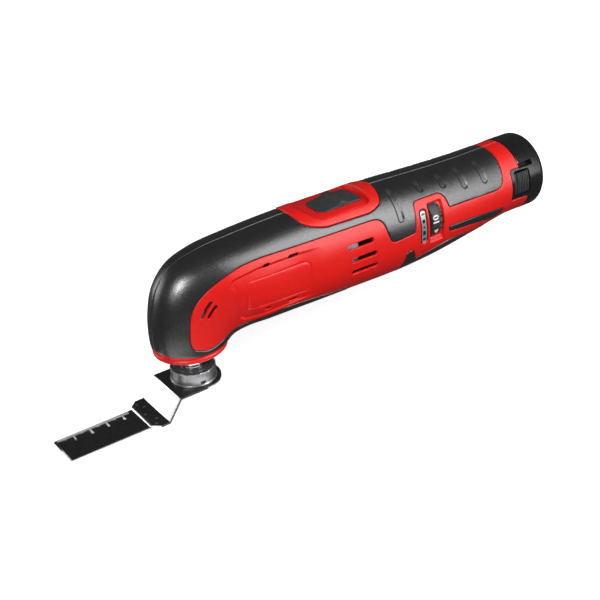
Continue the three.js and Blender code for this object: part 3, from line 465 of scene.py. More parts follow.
# ---------------------------------------------------------------- mesh helpers


def link(data, name):
    """Puts a mesh, text, light or camera into the scene as an object."""
    piece = bpy.data.objects.new(name, data)
    bpy.context.scene.collection.objects.link(piece)
    return piece


def from_bmesh(bm, name):
    mesh = bpy.data.meshes.new(name)
    bmesh.ops.recalc_face_normals(bm, faces=bm.faces)
    bm.to_mesh(mesh)
    bm.free()
    return link(mesh, name)


AXES = {
    "x": lambda u, v, w: (w, u, v),
    "y": lambda u, v, w: (u, w, v),
    "z": lambda u, v, w: (u, v, w),
}


def prism(name, points, low, high, axis="z"):
    """An outline in the two other coordinates, thickened along an axis."""
    bm = bmesh.new()
    spot = AXES[axis]
    rings = [[bm.verts.new(spot(u, v, w)) for u, v in points] for w in (low, high)]
    bm.faces.new(rings[0])
    bm.faces.new(rings[1][::-1])
    for i in range(len(points)):
        j = (i + 1) % len(points)
        bm.faces.new((rings[0][i], rings[0][j], rings[1][j], rings[1][i]))
    return from_bmesh(bm, name)


def lathe(name, profile, axis="z", centre=(0, 0), segments=96, squeeze=1.0, closed=False):
    """A profile of (radius, height) turned about an axis. closed joins its last to its first."""
    bm = bmesh.new()
    spot = AXES[axis]
    rings = []
    for radius, height in profile:
        if radius < 1e-6:
            rings.append([bm.verts.new(spot(centre[0], centre[1], height))])
            continue
        ring = []
        for k in range(segments):
            angle = 2 * math.pi * k / segments
            u = centre[0] + radius * math.cos(angle)
            v = centre[1] + radius * squeeze * math.sin(angle)
            ring.append(bm.verts.new(spot(u, v, height)))
        rings.append(ring)
    pairs = list(zip(rings, rings[1:])) + ([(rings[-1], rings[0])] if closed else [])
    for a, b in pairs:
        for k in range(segments):
            n = (k + 1) % segments
            corners = [a[k % len(a)], a[n % len(a)], b[n % len(b)], b[k % len(b)]]
            unique = list(dict.fromkeys(corners))
            if len(unique) > 2:
                bm.faces.new(unique)
    return from_bmesh(bm, name)


def rod(name, radius, low, high, axis="z", centre=(0, 0), segments=48):
    """A plain cylinder between two places along an axis."""
    profile = [(0, low), (radius, low), (radius, high), (0, high)]
    return lathe(name, profile, axis, centre, segments)


def box(name, low, high):
    corners = [(low[0], low[1]), (high[0], low[1]), (high[0], high[1]), (low[0], high[1])]
    return prism(name, corners, low[2], high[2])


def side_prism(name, points, side, inner):
    """An outline of the side view, from inner out past the body, on one side (-1 or 1)."""
    return prism(name, points, *sorted((side * inner, side * 30)), "y")


def evaluated(piece):
    """The mesh that an object's data and modifiers come to."""
    graph = bpy.context.evaluated_depsgraph_get()
    return bpy.data.meshes.new_from_object(piece.evaluated_get(graph))


def applied(piece):
    """Turns the piece's modifiers into its mesh."""
    mesh = evaluated(piece)
    piece.modifiers.clear()
    piece.data = mesh


def combine(piece, other, operation, keep_other=False):
    modifier = piece.modifiers.new("combine", "BOOLEAN")
    modifier.solver = "MANIFOLD"
    modifier.operation = operation
    modifier.object = other
    applied(piece)
    if not keep_other:
        bpy.data.objects.remove(other)


def cut(piece, *others):
    for other in others:
        combine(piece, other, "DIFFERENCE")


def add(piece, *others):
    for other in others:
        combine(piece, other, "UNION")


def bevelled(piece, name, width, angle):
    """Gives the piece a bevel in two steps on the edges sharper than angle."""
    modifier = piece.modifiers.new(name, "BEVEL")
    modifier.width = width
    modifier.segments = 2
    modifier.limit_method = "ANGLE"
    modifier.angle_limit = math.radians(angle)
    return modifier


def rounded(piece, width, angle):
    modifier = bevelled(piece, "rounded", width, angle)
    modifier.use_clamp_overlap = True
    modifier.miter_outer = "MITER_ARC"
    applied(piece)


def painted(piece, choose):
    """Gives each face the number of its finish, chosen by its middle and its normal."""
    for polygon in piece.data.polygons:
        polygon.material_index = choose(polygon.center, polygon.normal)


def subdivided(piece):
    bm = bmesh.new()
    bm.from_mesh(piece.data)
    bmesh.ops.subdivide_edges(bm, edges=bm.edges, cuts=3, use_grid_fill=True)
    bm.to_mesh(piece.data)
    bm.free()


def joined(pieces, name):
    """One mesh made of several that don't touch."""
    bm = bmesh.new()
    for piece in pieces:
        bm.from_mesh(piece.data)
        bpy.data.objects.remove(piece)
    mesh = bpy.data.meshes.new(name)
    bm.to_mesh(mesh)
    bm.free()
    return link(mesh, name)


def place(piece, body, slot, looks, replaces=(), smooth=38):
    """Moves a finished piece into the row frame and ties it to its body and finishes.

    looks holds names from FINISH, in the order of the faces' material numbers. slot is not used.
    """
    mesh = piece.data
    mesh.transform(TO_ROW)
    index = np.zeros(len(mesh.polygons), np.int32)
    mesh.polygons.foreach_get("material_index", index)
    mesh.materials.clear()
    for look in looks.split():
        mesh.materials.append(FINISH[look])
    mesh.polygons.foreach_set("material_index", index)
    mesh.polygons.foreach_set("use_smooth", [True] * len(mesh.polygons))
    mesh.set_sharp_from_angle(angle=math.radians(smooth))
    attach(piece, body)
    if replaces:
        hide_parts(*replaces)


# ---------------------------------------------------------------- materials


class Finish:
    """A node material being built on one Principled shader."""

    def __init__(self, name, color, roughness, metallic=0.0, **inputs):
        self.material = bpy.data.materials.new(name)
        self.material.use_nodes = True
        self.tree = self.material.node_tree
        self.shader = self.tree.nodes["Principled BSDF"]
        self.color = color
        self.bump_end = None
        self.coordinates = self.node("ShaderNodeTexCoord", {})["Object"]
        self.fill(self.shader, {"Base Color": (*color, 1), "Roughness": roughness,
                                "Metallic": metallic})
        self.fill(self.shader, {key.replace("_", " "): value for key, value in inputs.items()})

    def fill(self, node, inputs):
        """Sets each input to its value, or links it when the value is a node's output."""
        for name, value in inputs.items():
            if isinstance(value, bpy.types.NodeSocket):
                self.tree.links.new(value, node.inputs[name])
            else:
                node.inputs[name].default_value = value

    def node(self, kind, inputs, **settings):
        """Makes a node and gives its outputs."""
        made = self.tree.nodes.new(kind)
        for name, value in settings.items():
            setattr(made, name, value)
        self.fill(made, inputs)
        return made.outputs

    def noise(self, scale, detail, stretch=(1, 1, 1)):
        """Noise with this many cells to the metre."""
        mapping = self.node("ShaderNodeMapping", {"Scale": stretch, "Vector": self.coordinates})
        inputs = {"Scale": scale, "Detail": detail, "Vector": mapping["Vector"]}
        return self.node("ShaderNodeTexNoise", inputs)["Fac"]

    def pebbles(self, scale):
        """Pebbled grain with this many cells to the metre."""
        inputs = {"Scale": scale, "Vector": self.coordinates}
        return self.node("ShaderNodeTexVoronoi", inputs, feature="SMOOTH_F1")["Distance"]

    def spread(self, value, low, high):
        """Maps a noise value, which keeps near 0.5, to a range."""
        inputs = {"From Min": 0.3, "From Max": 0.7, "To Min": low, "To Max": high, "Value": value}
        return self.node("ShaderNodeMapRange", inputs)["Result"]

    def beyond_x(self, x):
        """0 on the blade's side of a place along the row frame's x, 1 on the battery's side."""
        split = self.node("ShaderNodeSeparateXYZ", {0: self.coordinates})
        return self.node("ShaderNodeMath", {0: split[0], 1: x}, operation="GREATER_THAN")[0]

    def tint(self, value, other):
        """Mixes the base colour with another by a value."""
        inputs = {0: value, 6: (*self.color, 1), 7: (*other, 1)}
        mixed = self.node("ShaderNodeMix", inputs, data_type="RGBA")[2]
        self.fill(self.shader, {"Base Color": mixed})

    def rough(self, low, high, *grain):
        """Spreads the roughness over a range by noise."""
        self.fill(self.shader, {"Roughness": self.spread(self.noise(*grain), low, high)})

    def bump(self, value, depth):
        """Adds relief of this depth in metres."""
        inputs = {"Strength": 1.0, "Distance": depth, "Height": value}
        if self.bump_end is not None:
            inputs["Normal"] = self.bump_end
        self.bump_end = self.node("ShaderNodeBump", inputs)["Normal"]
        self.fill(self.shader, {"Normal": self.bump_end})


def finish(name, color, roughness, metallic=0.0, tint=None, rough=None, pebbles=None, bumps=(),
           **inputs):
    """A material with noise in it.

    tint is (second colour, its share, noise...), rough is (low, high, noise...), pebbles is
    (depth, scale) and each of the bumps is (depth, noise...).
    """
    look = Finish(name, color, roughness, metallic, **inputs)
    if tint:
        other, share, *grain = tint
        look.tint(look.spread(look.noise(*grain), 0, share), other)
    if rough:
        look.rough(*rough)
    if pebbles:
        look.bump(look.pebbles(pebbles[1]), pebbles[0])
    for depth, *grain in bumps:
        look.bump(look.noise(*grain), depth)
    return look.material


def bell_finish():
    """The motor's end bell: plated in front of CAN_END and black behind it."""
    bell = Finish("motor_bell", (0.9, 0.9, 0.91), 0.4)
    bell.tint(bell.beyond_x(CAN_END), (0.012, 0.012, 0.013))
    bell.rough(0.34, 0.46, 900, 2)
    return bell.material


CAN_END = (TO_ROW @ Vector((105.8, 0, 0))).x
WHITE = (1, 1, 1, 1)
FINISH = {
    "red": finish(
        "red_plastic", (0.66, 0.0085, 0.006), 0.36, Specular_IOR_Level=0.42,
        tint=((0.57, 0.006, 0.0045), 0.55, 260, 4), rough=(0.33, 0.42, 900, 3),
        bumps=[(0.000035, 3600, 3), (0.00003, 1100, 2)]),
    "rubber": finish(
        "soft_rubber", (0.009, 0.0093, 0.0098), 0.3, Specular_IOR_Level=0.95,
        tint=((0.014, 0.0143, 0.0155), 0.8, 180, 5), rough=(0.26, 0.37, 1400, 3),
        pebbles=(0.00005, 2600), bumps=[(0.00003, 900, 2)]),
    "gloss": finish(
        "gloss_black", (0.008, 0.008, 0.009), 0.22, Specular_IOR_Level=0.3,
        tint=((0.013, 0.013, 0.014), 1, 300, 3), rough=(0.17, 0.26, 1200, 3),
        bumps=[(0.000012, 2200, 2)]),
    "satin": finish(
        "satin_black", (0.03, 0.031, 0.033), 0.42, Specular_IOR_Level=0.25,
        tint=((0.042, 0.043, 0.046), 1, 300, 3), rough=(0.36, 0.48, 1500, 3),
        bumps=[(0.00003, 2800, 3)]),
    "brushed": finish(
        "brushed_steel", (0.36, 0.36, 0.37), 0.36, 1.0,
        tint=((0.26, 0.26, 0.27), 1, 60, 4, (1, 1, 60)), rough=(0.3, 0.46, 80, 3, (1, 1, 90)),
        bumps=[(0.00003, 90, 3, (1, 1, 80))]),
    "steel": finish(
        "plain_steel", (0.5, 0.5, 0.51), 0.34, 1.0,
        tint=((0.38, 0.38, 0.39), 1, 200, 4), rough=(0.28, 0.42, 700, 3),
        bumps=[(0.00001, 1600, 2)]),
    "chrome": finish(
        "chromed_steel", (0.78, 0.78, 0.79), 0.12, 1.0,
        tint=((0.68, 0.68, 0.69), 1, 200, 3), rough=(0.09, 0.16, 400, 2)),
    "bright": finish(
        "bare_bright_steel", (0.93, 0.93, 0.93), 0.3, 1.0,
        tint=((0.86, 0.86, 0.86), 1, 500, 3, (1, 12, 1)), rough=(0.24, 0.36, 500, 3, (1, 12, 1))),
    "coated": finish(
        "black_coated_steel", (0.004, 0.004, 0.0045), 0.42,
        tint=((0.011, 0.011, 0.012), 1, 700, 4), rough=(0.34, 0.52, 1500, 3),
        bumps=[(0.000012, 2500, 2)]),
    "white": finish(
        "white_print", (0.88, 0.88, 0.88), 0.6, tint=((0.62, 0.62, 0.62), 0.6, 2500, 3)),
    "silver": finish(
        "silver_label", (0.36, 0.37, 0.38), 0.36, 0.6,
        tint=((0.3, 0.31, 0.32), 1, 600, 3, (8, 1, 1)), rough=(0.3, 0.42, 900, 2)),
    "plated": finish(
        "plated_can", (0.72, 0.72, 0.73), 0.4, 0.1,
        tint=((0.6, 0.6, 0.61), 1, 500, 3), rough=(0.34, 0.46, 900, 2)),
    "bell": bell_finish(),
    "aluminium": finish(
        "cast_aluminium", (0.6, 0.6, 0.61), 0.45, 1.0,
        tint=((0.5, 0.5, 0.51), 1, 300, 5), rough=(0.38, 0.56, 900, 3),
        bumps=[(0.00005, 1200, 3)]),
    "ferrite": finish(
        "ferrite", (0.045, 0.04, 0.037), 0.7,
        tint=((0.07, 0.062, 0.058), 1, 900, 4), bumps=[(0.00004, 1500, 3)]),
    "copper": finish(
        "copper_winding", (0.6, 0.28, 0.13), 0.32, 1.0,
        tint=((0.42, 0.17, 0.07), 1, 120, 3, (1, 30, 30)), rough=(0.26, 0.4, 700, 2)),
    "board": finish(
        "circuit_board", (0.015, 0.09, 0.035), 0.4, tint=((0.02, 0.13, 0.05), 1, 700, 2)),
    "wrap": finish(
        "cell_wrap", (0.02, 0.022, 0.026), 0.35, tint=((0.03, 0.032, 0.038), 1, 200, 3)),
    "brass": finish("brass", (0.62, 0.45, 0.16), 0.3, 1.0, tint=((0.5, 0.34, 0.11), 1, 600, 3)),
    "lead": finish(
        "red_insulation", (0.4, 0.02, 0.02), 0.45, tint=((0.3, 0.015, 0.015), 1, 500, 2)),
    "glow": finish(
        "white_card", (0.8, 0.8, 0.8), 0.9, Emission_Color=WHITE, Emission_Strength=1.3),
    "floor": finish(
        "pale_floor", (0.9, 0.9, 0.9), 0.9, Specular_IOR_Level=0.1, Emission_Color=WHITE,
        Emission_Strength=0.72, tint=((0.89, 0.89, 0.89), 1, 3, 2)),
}

# ---------------------------------------------------------------- housing and grips

SIDE_SHAPES = {
    "grip": GRIP, "pad": PAD, "stripe": STRIPE, "nose": NOSE_CUT, "rear": REAR_CUT,
    "panel": PANEL, "badge": BADGE,
}
WINDOWS = {"dial": DIAL_WINDOW, "bay": DIAL_BAY, "gauge": GAUGE_WINDOW}
FAR = 50  # the distance given where an outline isn't meant to reach
TOP_LOW = 60  # the switch's outlines count above this height
SIDE_Y = 6  # openings count beyond this distance from the middle plane
FINE_Y = 8  # and the mesh is made finer beyond this one
LATCH_REAR = 231  # the edge that the battery meets is made finer in front of this place
RIBS_FROM = 120  # the grip's ribs lie behind this place


def openings_distance(p):
    """The distance to the nearest vent or panel opening, below zero inside it."""
    lines = [(line, 1.5) for line in VENTS]
    lines += [(catmull([line[0], *line], 4)[4:], 1.1) for line in HEAD_VENTS]
    lines += [(line, 0.8) for line in PANEL_OPENINGS]
    return np.min([line_distance(p[:, 0], p[:, 2], line) - half for line, half in lines], 0)


def rib_distance(p, angle):
    """The distance to the nearest grip rib, in millimetres along the surface."""
    round_the_body = np.degrees(angle) * GIRTH_SCALE
    found = []
    for x, low, high in RIBS:
        line = [(x, high * GIRTH_SCALE), (x, low * GIRTH_SCALE - 2.2)]
        found.append(line_distance(p[:, 0], round_the_body, line) - 2.2)
    return np.min(found, 0)


def half_skin():
    """The left half of the body's surface, with every outline's distance on it."""
    skin = Skin(0, 1, 0, math.pi)
    for reach in (1.3, 0.75):
        p = skin.points()
        fine = [openings_distance(p), *(side_distance(p, shape) for shape in WINDOWS.values())]
        fine.append(np.where(p[:, 0] < LATCH_REAR, side_distance(p, REAR_CUT), FAR))
        skin.refine((np.min(np.abs(fine), 0) < reach) & (np.abs(p[:, 1]) > FINE_Y))
    p = skin.points()
    detail = (np.abs(rib_distance(p, skin.angle)) < 1.3) & (p[:, 0] > RIBS_FROM)
    detail |= (np.abs(side_distance(p, PANEL)) < 1.5) & (np.abs(p[:, 1]) > FINE_Y)
    skin.refine(detail)

    p = skin.points()
    side, top = np.abs(p[:, 1]) > SIDE_Y, p[:, 2] > TOP_LOW
    f = skin.fields
    f["x"], f["z"] = p[:, 0].copy(), p[:, 2].copy()
    f["seam"] = np.abs(p[:, 1]) - SEAM
    f["rib"] = rib_distance(p, skin.angle)
    f["opening"] = np.where(side, openings_distance(p), FAR)
    f["tray"] = np.where(top, top_distance(p, TRAY), FAR)
    f["bezel"] = np.where(top, top_distance(p, BEZEL), TOP_LOW - p[:, 2] + 10)
    for name, shape in SIDE_SHAPES.items():
        f[name] = side_distance(p, shape)
    for name, shape in WINDOWS.items():
        f[name] = np.where(side, side_distance(p, shape), FAR)
    return skin


ROUND = 0.5
EDGE = (0.0, 0.1, 0.25, ROUND)  # where the surface is sliced for an edge rounded by ROUND
ENDS = ("nose", "rear", "seam")
ZONES = ("grip", "pad", "stripe", "bezel")  # what lies on the red plastic
PANEL_STEP = 1.4
GROOVE, GROOVE_DEPTH = 0.42, 0.3  # half the width of the badge's outline, and its depth
BAY_DEPTH = 1.5  # the sunken place round the dial, which a ramp below the dial brings up by 1.2


def within(f, **floors):
    """True where the piece lies inside the body's ends and every field is above its floor."""
    return np.all([f[edge] > 0 for edge in ENDS] + [f[k] > v for k, v in floors.items()], 0)


def housing_shell(skin, name, with_dial):
    skin = skin.copy()
    for zone in ZONES:
        skin.slice(zone, *[GAP + e for e in EDGE], GAP - 0.07)
    for edge in ENDS:
        skin.slice(edge, *EDGE)
    skin.slice("tray", TRAY_WALL + GAP)
    skin.slice("opening", 0.0, 0.1, 0.3)
    skin.slice("panel", -1.2, -0.8, -0.4, 0.0, 0.4)
    skin.slice("badge", -GROOVE, -0.2, 0.0, 0.2, GROOVE)
    cuts = {"dial": 0, "gauge": 0} if with_dial else {}
    if with_dial:
        skin.slice("dial", *EDGE)
        skin.slice("bay", -0.9, -0.45, 0.0, 0.4)
        skin.slice("gauge", *EDGE, 0.9)
    skin.keep(lambda f: within(f, opening=0, tray=TRAY_WALL + GAP, **cuts))

    f = skin.fields
    height = np.full(len(skin.t), RED_LEVEL)
    step = smooth_step(f["panel"], 0.25, -0.95) * smooth_step(f["x"], 78, 56)
    height -= PANEL_STEP * step * (1 - 0.35 * smooth_step(f["z"], 52, 38))
    groove = np.clip(1 - np.abs(f["badge"]) / GROOVE, 0, 1)
    height -= GROOVE_DEPTH * smooth_step(groove, 0, 1)
    if with_dial:
        ramp = np.clip((44.7 - f["z"]) / 3.0, 0, 1)
        height -= smooth_step(f["bay"], 0.1, -1.2) * (BAY_DEPTH - 1.2 * ramp)
    for edge in (*ENDS, *cuts):
        height -= edge_round(f[edge], ROUND)
    height -= edge_round(f["opening"], 0.3)
    zone = np.min([f[k] for k in ZONES], 0) - GAP
    covered = zone < -0.03
    height -= np.where(covered, 0, edge_round(zone, 0.4))
    height = np.where(covered, -RUBBER - 0.3, height)
    height = np.where(f["bezel"] < GAP - 0.03, -2.3, height)
    depth = -WALL + (WALL - THIN_WALL) * smooth_step(f["opening"], 3.4, 2.2)
    return skin.solid(name, height, depth)


def rubber_piece(skin, name, zone):
    skin = skin.copy()
    skin.slice(zone, *[-e for e in EDGE])
    for edge in ENDS:
        skin.slice(edge, *EDGE)
    skin.slice("bezel", *[GAP + e for e in EDGE])
    skin.slice("rib", -0.75, -0.4, 0.0, 0.3)
    skin.keep(lambda f: within(f, bezel=GAP) & (f[zone] < 0))
    f = skin.fields
    height = np.zeros(len(skin.t))
    for distance in (-f[zone], f["bezel"] - GAP, f["nose"], f["seam"]):
        height -= edge_round(distance, ROUND)
    if zone == "grip":
        fade = smooth_step(np.degrees(skin.angle), 17, 30) * (f["x"] > RIBS_FROM)
        height -= 0.75 * smooth_step(f["rib"], 0.15, -0.75) * fade
    return skin.solid(name, height, -RUBBER)


def mirrored(piece, name):
    """The same piece on the other side of the tool."""
    mesh = piece.data.copy()
    mesh.transform(Matrix.Diagonal((1, -1, 1, 1)))
    mesh.flip_normals()
    return link(mesh, name)


def build_housing():
    skin = half_skin()
    left = housing_shell(skin, "left_housing_shell", True)
    plain = housing_shell(skin, "right_shell_source", False)
    right = mirrored(plain, "right_housing_shell")
    bpy.data.objects.remove(plain)
    for piece, node in ((left, "left_housing"), (right, "right_housing")):
        place(piece, "housing", "red_plastic", "red", [node])
    for zone, node in (("grip", "grip"), ("pad", "belly_pad"), ("stripe", "side_stripe")):
        near = rubber_piece(skin, f"left_{node}_skin", zone)
        far = mirrored(near, f"right_{node}_skin")
        for piece, side in ((near, "left"), (far, "right")):
            place(piece, "housing", "grip_rubber", "rubber", [f"{side}_{node}"])
    return skin


def build_gauge(skin):
    """The silver gauge strip in its dark frame, with plain marks."""
    strip = skin.copy()
    strip.keep(lambda f: (f["gauge"] < 1) & (f["x"] > 140) & (f["x"] < 156))
    strip.refine(strip.fields["gauge"] < 0.6)
    p = strip.points()
    marks = [side_distance(p, rounded_box(*mark)) for mark in GAUGE_MARKS]
    strip.fields["mark"] = np.min(marks, 0)
    strip.slice("gauge", -0.25, -0.45, -0.6, -0.95)
    strip.slice("mark", 0.0)
    strip.keep(lambda f: f["gauge"] < -0.25)
    f = strip.fields
    height = -0.35 - edge_round(-0.25 - f["gauge"], 0.3)
    height -= 0.25 * smooth_step(f["gauge"], -0.6, -0.95)

    def colours(f):
        return np.where((f["gauge"] > -0.78) | (f["mark"] < 0), 1, 0)

    piece = strip.solid("gauge_label", height, -2.2, colours)
    place(piece, "housing", "silver_label", "silver gloss", ["gauge_strip"])


def build_bezel():
    """The plate round the switch, with a flat sunken floor that the knob slides on."""
    skin = Skin(6.4 / 13, 10.2 / 13, -math.radians(60), math.radians(60))
    for reach in (2.4, 1.0):
        p = skin.points()
        skin.refine(np.abs(top_distance(p, TRAY) - 0.4) < reach)
    p = skin.points()
    skin.fields["edge"] = top_distance(p, BEZEL)
    skin.fields["tray"] = top_distance(p, TRAY)
    skin.slice("edge", 0.0, -0.12, -0.35, -0.7)
    skin.slice("tray", 0.0, 0.1, 0.25, 0.5, TRAY_WALL, TRAY_WALL + 0.1)
    skin.keep(lambda f: f["edge"] < 0)
    f = skin.fields
    height = 0.45 - edge_round(-f["edge"], 0.6) - edge_round(np.maximum(f["tray"], 0), 0.5)
    fall = (skin.points()[:, 2] - TRAY_BOTTOM) / body_normals(skin.t, skin.angle)[:, 2]
    depth = np.where(f["tray"] < TRAY_WALL + 0.05, -np.maximum(fall, 1.2), -2.1)
    plate = skin.solid("switch_bezel_plate", height, depth)
    cut(plate, prism("tray_room", TRAY, TRAY_FLOOR, 100), prism("link_room", LINK_SLOT, 60, 100))
    cut(plate, prism("arrow_room", ARROW, TRAY_FLOOR - 0.3, 100))
    place(plate, "housing", "red_plastic", "red", ["switch_bezel"])


def build_nose_ring():
    outer, width, bore = 21.5, 19.8, 15.1
    inner = bore * outer / width
    profile = [(inner, 19.1), (outer - 1.3, 19.1)]
    for k in range(1, 12):
        angle = math.radians(-90 + 180 * k / 12)
        profile.append((outer - 1.3 + 1.3 * math.cos(angle), 20.6 + 1.5 * math.sin(angle)))
    profile += [(outer - 1.3, 22.1), (inner, 22.1)]
    ring = lathe("nose_ring_bead", profile, squeeze=width / outer, closed=True)
    place(ring, "housing", "red_plastic", "red", ["nose_ring"])


# ---------------------------------------------------------------- switch knob and dial


KNOB_LOW = 76.75
KNOB_PROFILE = outline(
    (87.2, 77.2), ("curve", (91, 77.35), (94.6, 77.7), (97.4, 78.2), (99, 78.7), (100.2, 79.7),
                   (101.2, 80.75), (102.2, 80.95)),
    (103.4, 80.9), ("curve", (104.6, 80.1), (105.6, 79), (107.2, 78.5), (113, 78.1), (117.4, 77.4)),
)
KNOB_HALF_WIDTH = [
    (87.2, 4.6), (87.5, 6.0), (88.0, 7.2), (88.9, 8.2), (90.0, 8.9), (91.2, 9.3), (115, 9.3),
    (115.8, 8.6), (116.6, 7.1), (117.1, 5.0), (117.4, 2.4),
]


def build_knob():
    """A ramp that rises to one ridge for the thumb. It falls a little towards both sides."""
    stations = np.union1d(np.linspace(87.2, 117.4, 84), [x for x, _ in KNOB_HALF_WIDTH])
    half = np.interp(stations, *np.transpose(KNOB_HALF_WIDTH))
    crest = np.interp(stations, *np.transpose(KNOB_PROFILE))
    ends = np.minimum(stations - stations[0], stations[-1] - stations)
    across = np.sin(np.linspace(-math.pi / 2, math.pi / 2, 33))
    bm = bmesh.new()
    tops, lows = [], []
    for x, w, z, end in zip(stations, half, crest, ends):
        inset = w * (1 - np.abs(across))
        drop = edge_round(inset, 0.5) * 0.8 + edge_round(end, 0.5) * 0.6
        heights = z - 0.3 * (z - KNOB_LOW) * across**4 - drop
        heights = np.maximum(heights, KNOB_LOW + 0.1)
        tops.append([bm.verts.new((x, w * a, h)) for a, h in zip(across, heights)])
        lows.append([bm.verts.new((x, w * a, KNOB_LOW)) for a in across])
    last = len(across) - 1
    for i in range(len(stations) - 1):
        for k in range(last):
            bm.faces.new((tops[i][k], tops[i + 1][k], tops[i + 1][k + 1], tops[i][k + 1]))
            bm.faces.new((lows[i][k], lows[i][k + 1], lows[i + 1][k + 1], lows[i + 1][k]))
        for k in (0, last):
            bm.faces.new((tops[i][k], lows[i][k], lows[i + 1][k], tops[i + 1][k]))
    for i in (0, -1):
        for k in range(last):
            bm.faces.new((tops[i][k], tops[i][k + 1], lows[i][k + 1], lows[i][k]))
    knob = from_bmesh(bm, "switch_knob_cap")
    place(knob, "switch_slider", "dark_plastic", "satin", ["switch_knob"], smooth=50)


def text_mesh(name, body, size, weight):
    """Digits as a thin solid that lies flat round the origin. weight thickens their strokes."""
    curve = bpy.data.curves.new(name, "FONT")
    curve.body = body
    curve.size = size
    curve.extrude = 0.04
    curve.align_x = curve.align_y = "CENTER"
    curve.offset = size * weight
    text = link(curve, name)
    mesh = evaluated(text)
    bpy.data.objects.remove(text)
    mesh.materials.clear()
    return link(mesh, name)


def wrap_on_dial(mesh, angle, along):
    """Bends a flat mark onto the dial's rim. Its x runs round the rim, its y towards -X."""
    radius = DIAL_RADIUS - 0.12
    for vertex in mesh.vertices:
        u, v, w = vertex.co
        turn = angle - u / radius
        reach = radius + w
        vertex.co = (along - v, *polar(reach, turn, (DIAL_Y, DIAL_Z)))


def build_dial():
    rim = []
    flutes, steps = 18, 18 * 12
    centre = (DIAL_Y, DIAL_Z)
    for k in range(steps):
        angle = 2 * math.pi * k / steps
        reach = DIAL_RADIUS - 0.42 * (1 - math.cos(angle * flutes)) - 0.05
        rim.append(polar(reach, angle, centre))
    wheel = prism("dial_fluted_edge", rim, DIAL_REAR - 1.9, DIAL_REAR, "x")
    body, rear = DIAL_RADIUS - 0.1, DIAL_REAR - 1.5
    band = [(0, DIAL_FRONT), (body - 0.5, DIAL_FRONT), (body, DIAL_FRONT + 0.5),
            (body, DIAL_REAR - 1.9), (DIAL_RADIUS - 0.8, rear), (0, rear)]
    add(wheel, lathe("dial_band", band, "x", centre))
    cut(wheel, rod("dial_recess", 9.6, DIAL_REAR - 1, DIAL_REAR + 1, "x", centre, 96))
    rounded(wheel, 0.25, 40)
    place(wheel, "speed_dial", "black_plastic", "satin", ["dial_wheel"])
    facing = math.pi  # the side of the dial that shows in its window
    marks = [text_mesh("dial_mark", str(digits), 5.8, 0.03) for digits in (10, 8, 6, 4, 2)]
    for number, mark in enumerate(marks):
        wrap_on_dial(mark.data, facing - math.radians(9 + 62 * number), 156.8)
    pointer = prism("dial_pointer", [(-2, -1.6), (1.8, -1.6), (1.8, 1.5), (-0.3, 0.4)], -0.04, 0.04)
    subdivided(pointer)
    wrap_on_dial(pointer.data, facing + math.radians(30), 157.3)
    marks.append(pointer)
    place(joined(marks, "dial_digits"), "speed_dial", "silver_label", "white")


# ---------------------------------------------------------------- spindle and accessory


STUDS = [polar(10, 2 * math.pi * (k + 0.5) / 8) for k in range(8)]  # and the sockets for them


def build_spindle():
    neck = [(0, 1.3), (7.25, 1.3), (7.25, 9.4), (6.9, 9.7), (6.9, 10.3), (7.25, 10.6), (7.25, 25.7),
            (6, 25.7), (6, 52), (5, 52), (5, 58.6), (4.8, 58.8), (0, 58.8)]
    piece = lathe("spindle_neck", neck)
    cut(piece, rod("spindle_bore", 3.1, 0, 20))
    place(piece, "spindle", "chromed_steel", "chrome", ["spindle"])

    collar = [(7.4, 0), (13.2, 0), (13.4, 0.2), (13.4, 0.85), (13.2, 1.05), (12.85, 1.1),
              (12.85, 1.3), (13, 1.45), (13, 7.55), (12.9, 7.85), (12.65, 8), (12.35, 7.95),
              (12.2, 7.75), (12.2, 7.1), (7.4, 7.1)]
    flange = lathe("drive_collar", collar, closed=True, segments=144)
    for spot in STUDS:
        cut(flange, rod("socket", 1.5, -1, 1, "z", spot, 24))
    cut(flange, box("collar_notch", (-2.6, -14.5, 1.2), (0.3, -11.9, 3.2)))
    painted(flange, lambda c, n: int(n.z > -0.9 and (c.z < 1.1 or c.z > 7.6)))
    place(flange, "spindle", "brushed_flange", "brushed bright", ["drive_flange"])
    # A thin black sheet on the back wall of the collar's notch: painted shade in the notch.
    painted_notch_shade = box("collar_notch_shade", (-2.55, -12.05, 1.25), (0.25, -11.92, 3.15))
    place(painted_notch_shade, "spindle", "black_steel", "coated")

    disc = [(7.45, 7.2), (12.1, 7.2), (12.1, 7.55), (11.8, 7.75), (9.2, 7.8), (8.9, 7.7),
            (8.2, 7.7), (7.9, 7.9), (7.45, 7.9)]
    washer = lathe("dust_disc", disc, closed=True)
    place(washer, "spindle", "dark_plastic", "satin", ["dust_washer"])


# The holder's heights and places along x. top and drop are its upper faces, bend and foot the
# places of its two folds.
HOLDER = SimpleNamespace(thickness=1.2, plate=15.6, width=22.6, bend=-17.6, foot=-26.1,
                         top=-0.15, drop=-12.3, end=-36.2)
GROUND = 0.8  # the foot's end is ground to a bare chamfer of this size
BLADE = SimpleNamespace(top=-13.65, low=-14.65, tip=-84.4, rear=-28.5, half=11.3, teeth=16,
                        depth=1.2)


def holder_finish(c, n):
    """0 black, 1 bare and bright, 2 cut edges, for a face of the holder."""
    h = HOLDER
    sloped = h.foot + 0.1 < c.x < h.bend + 0.1 and n.z > 0.2 and abs(n.y) < 0.3
    on_slope = h.foot < c.x < h.bend and h.drop < c.z < h.top - h.thickness
    if sloped or (c.x < h.end + GROUND and n.x < -0.4):
        return 1
    return 2 if (abs(n.y) > 0.6 or n.x > 0.75) and not on_slope else 0


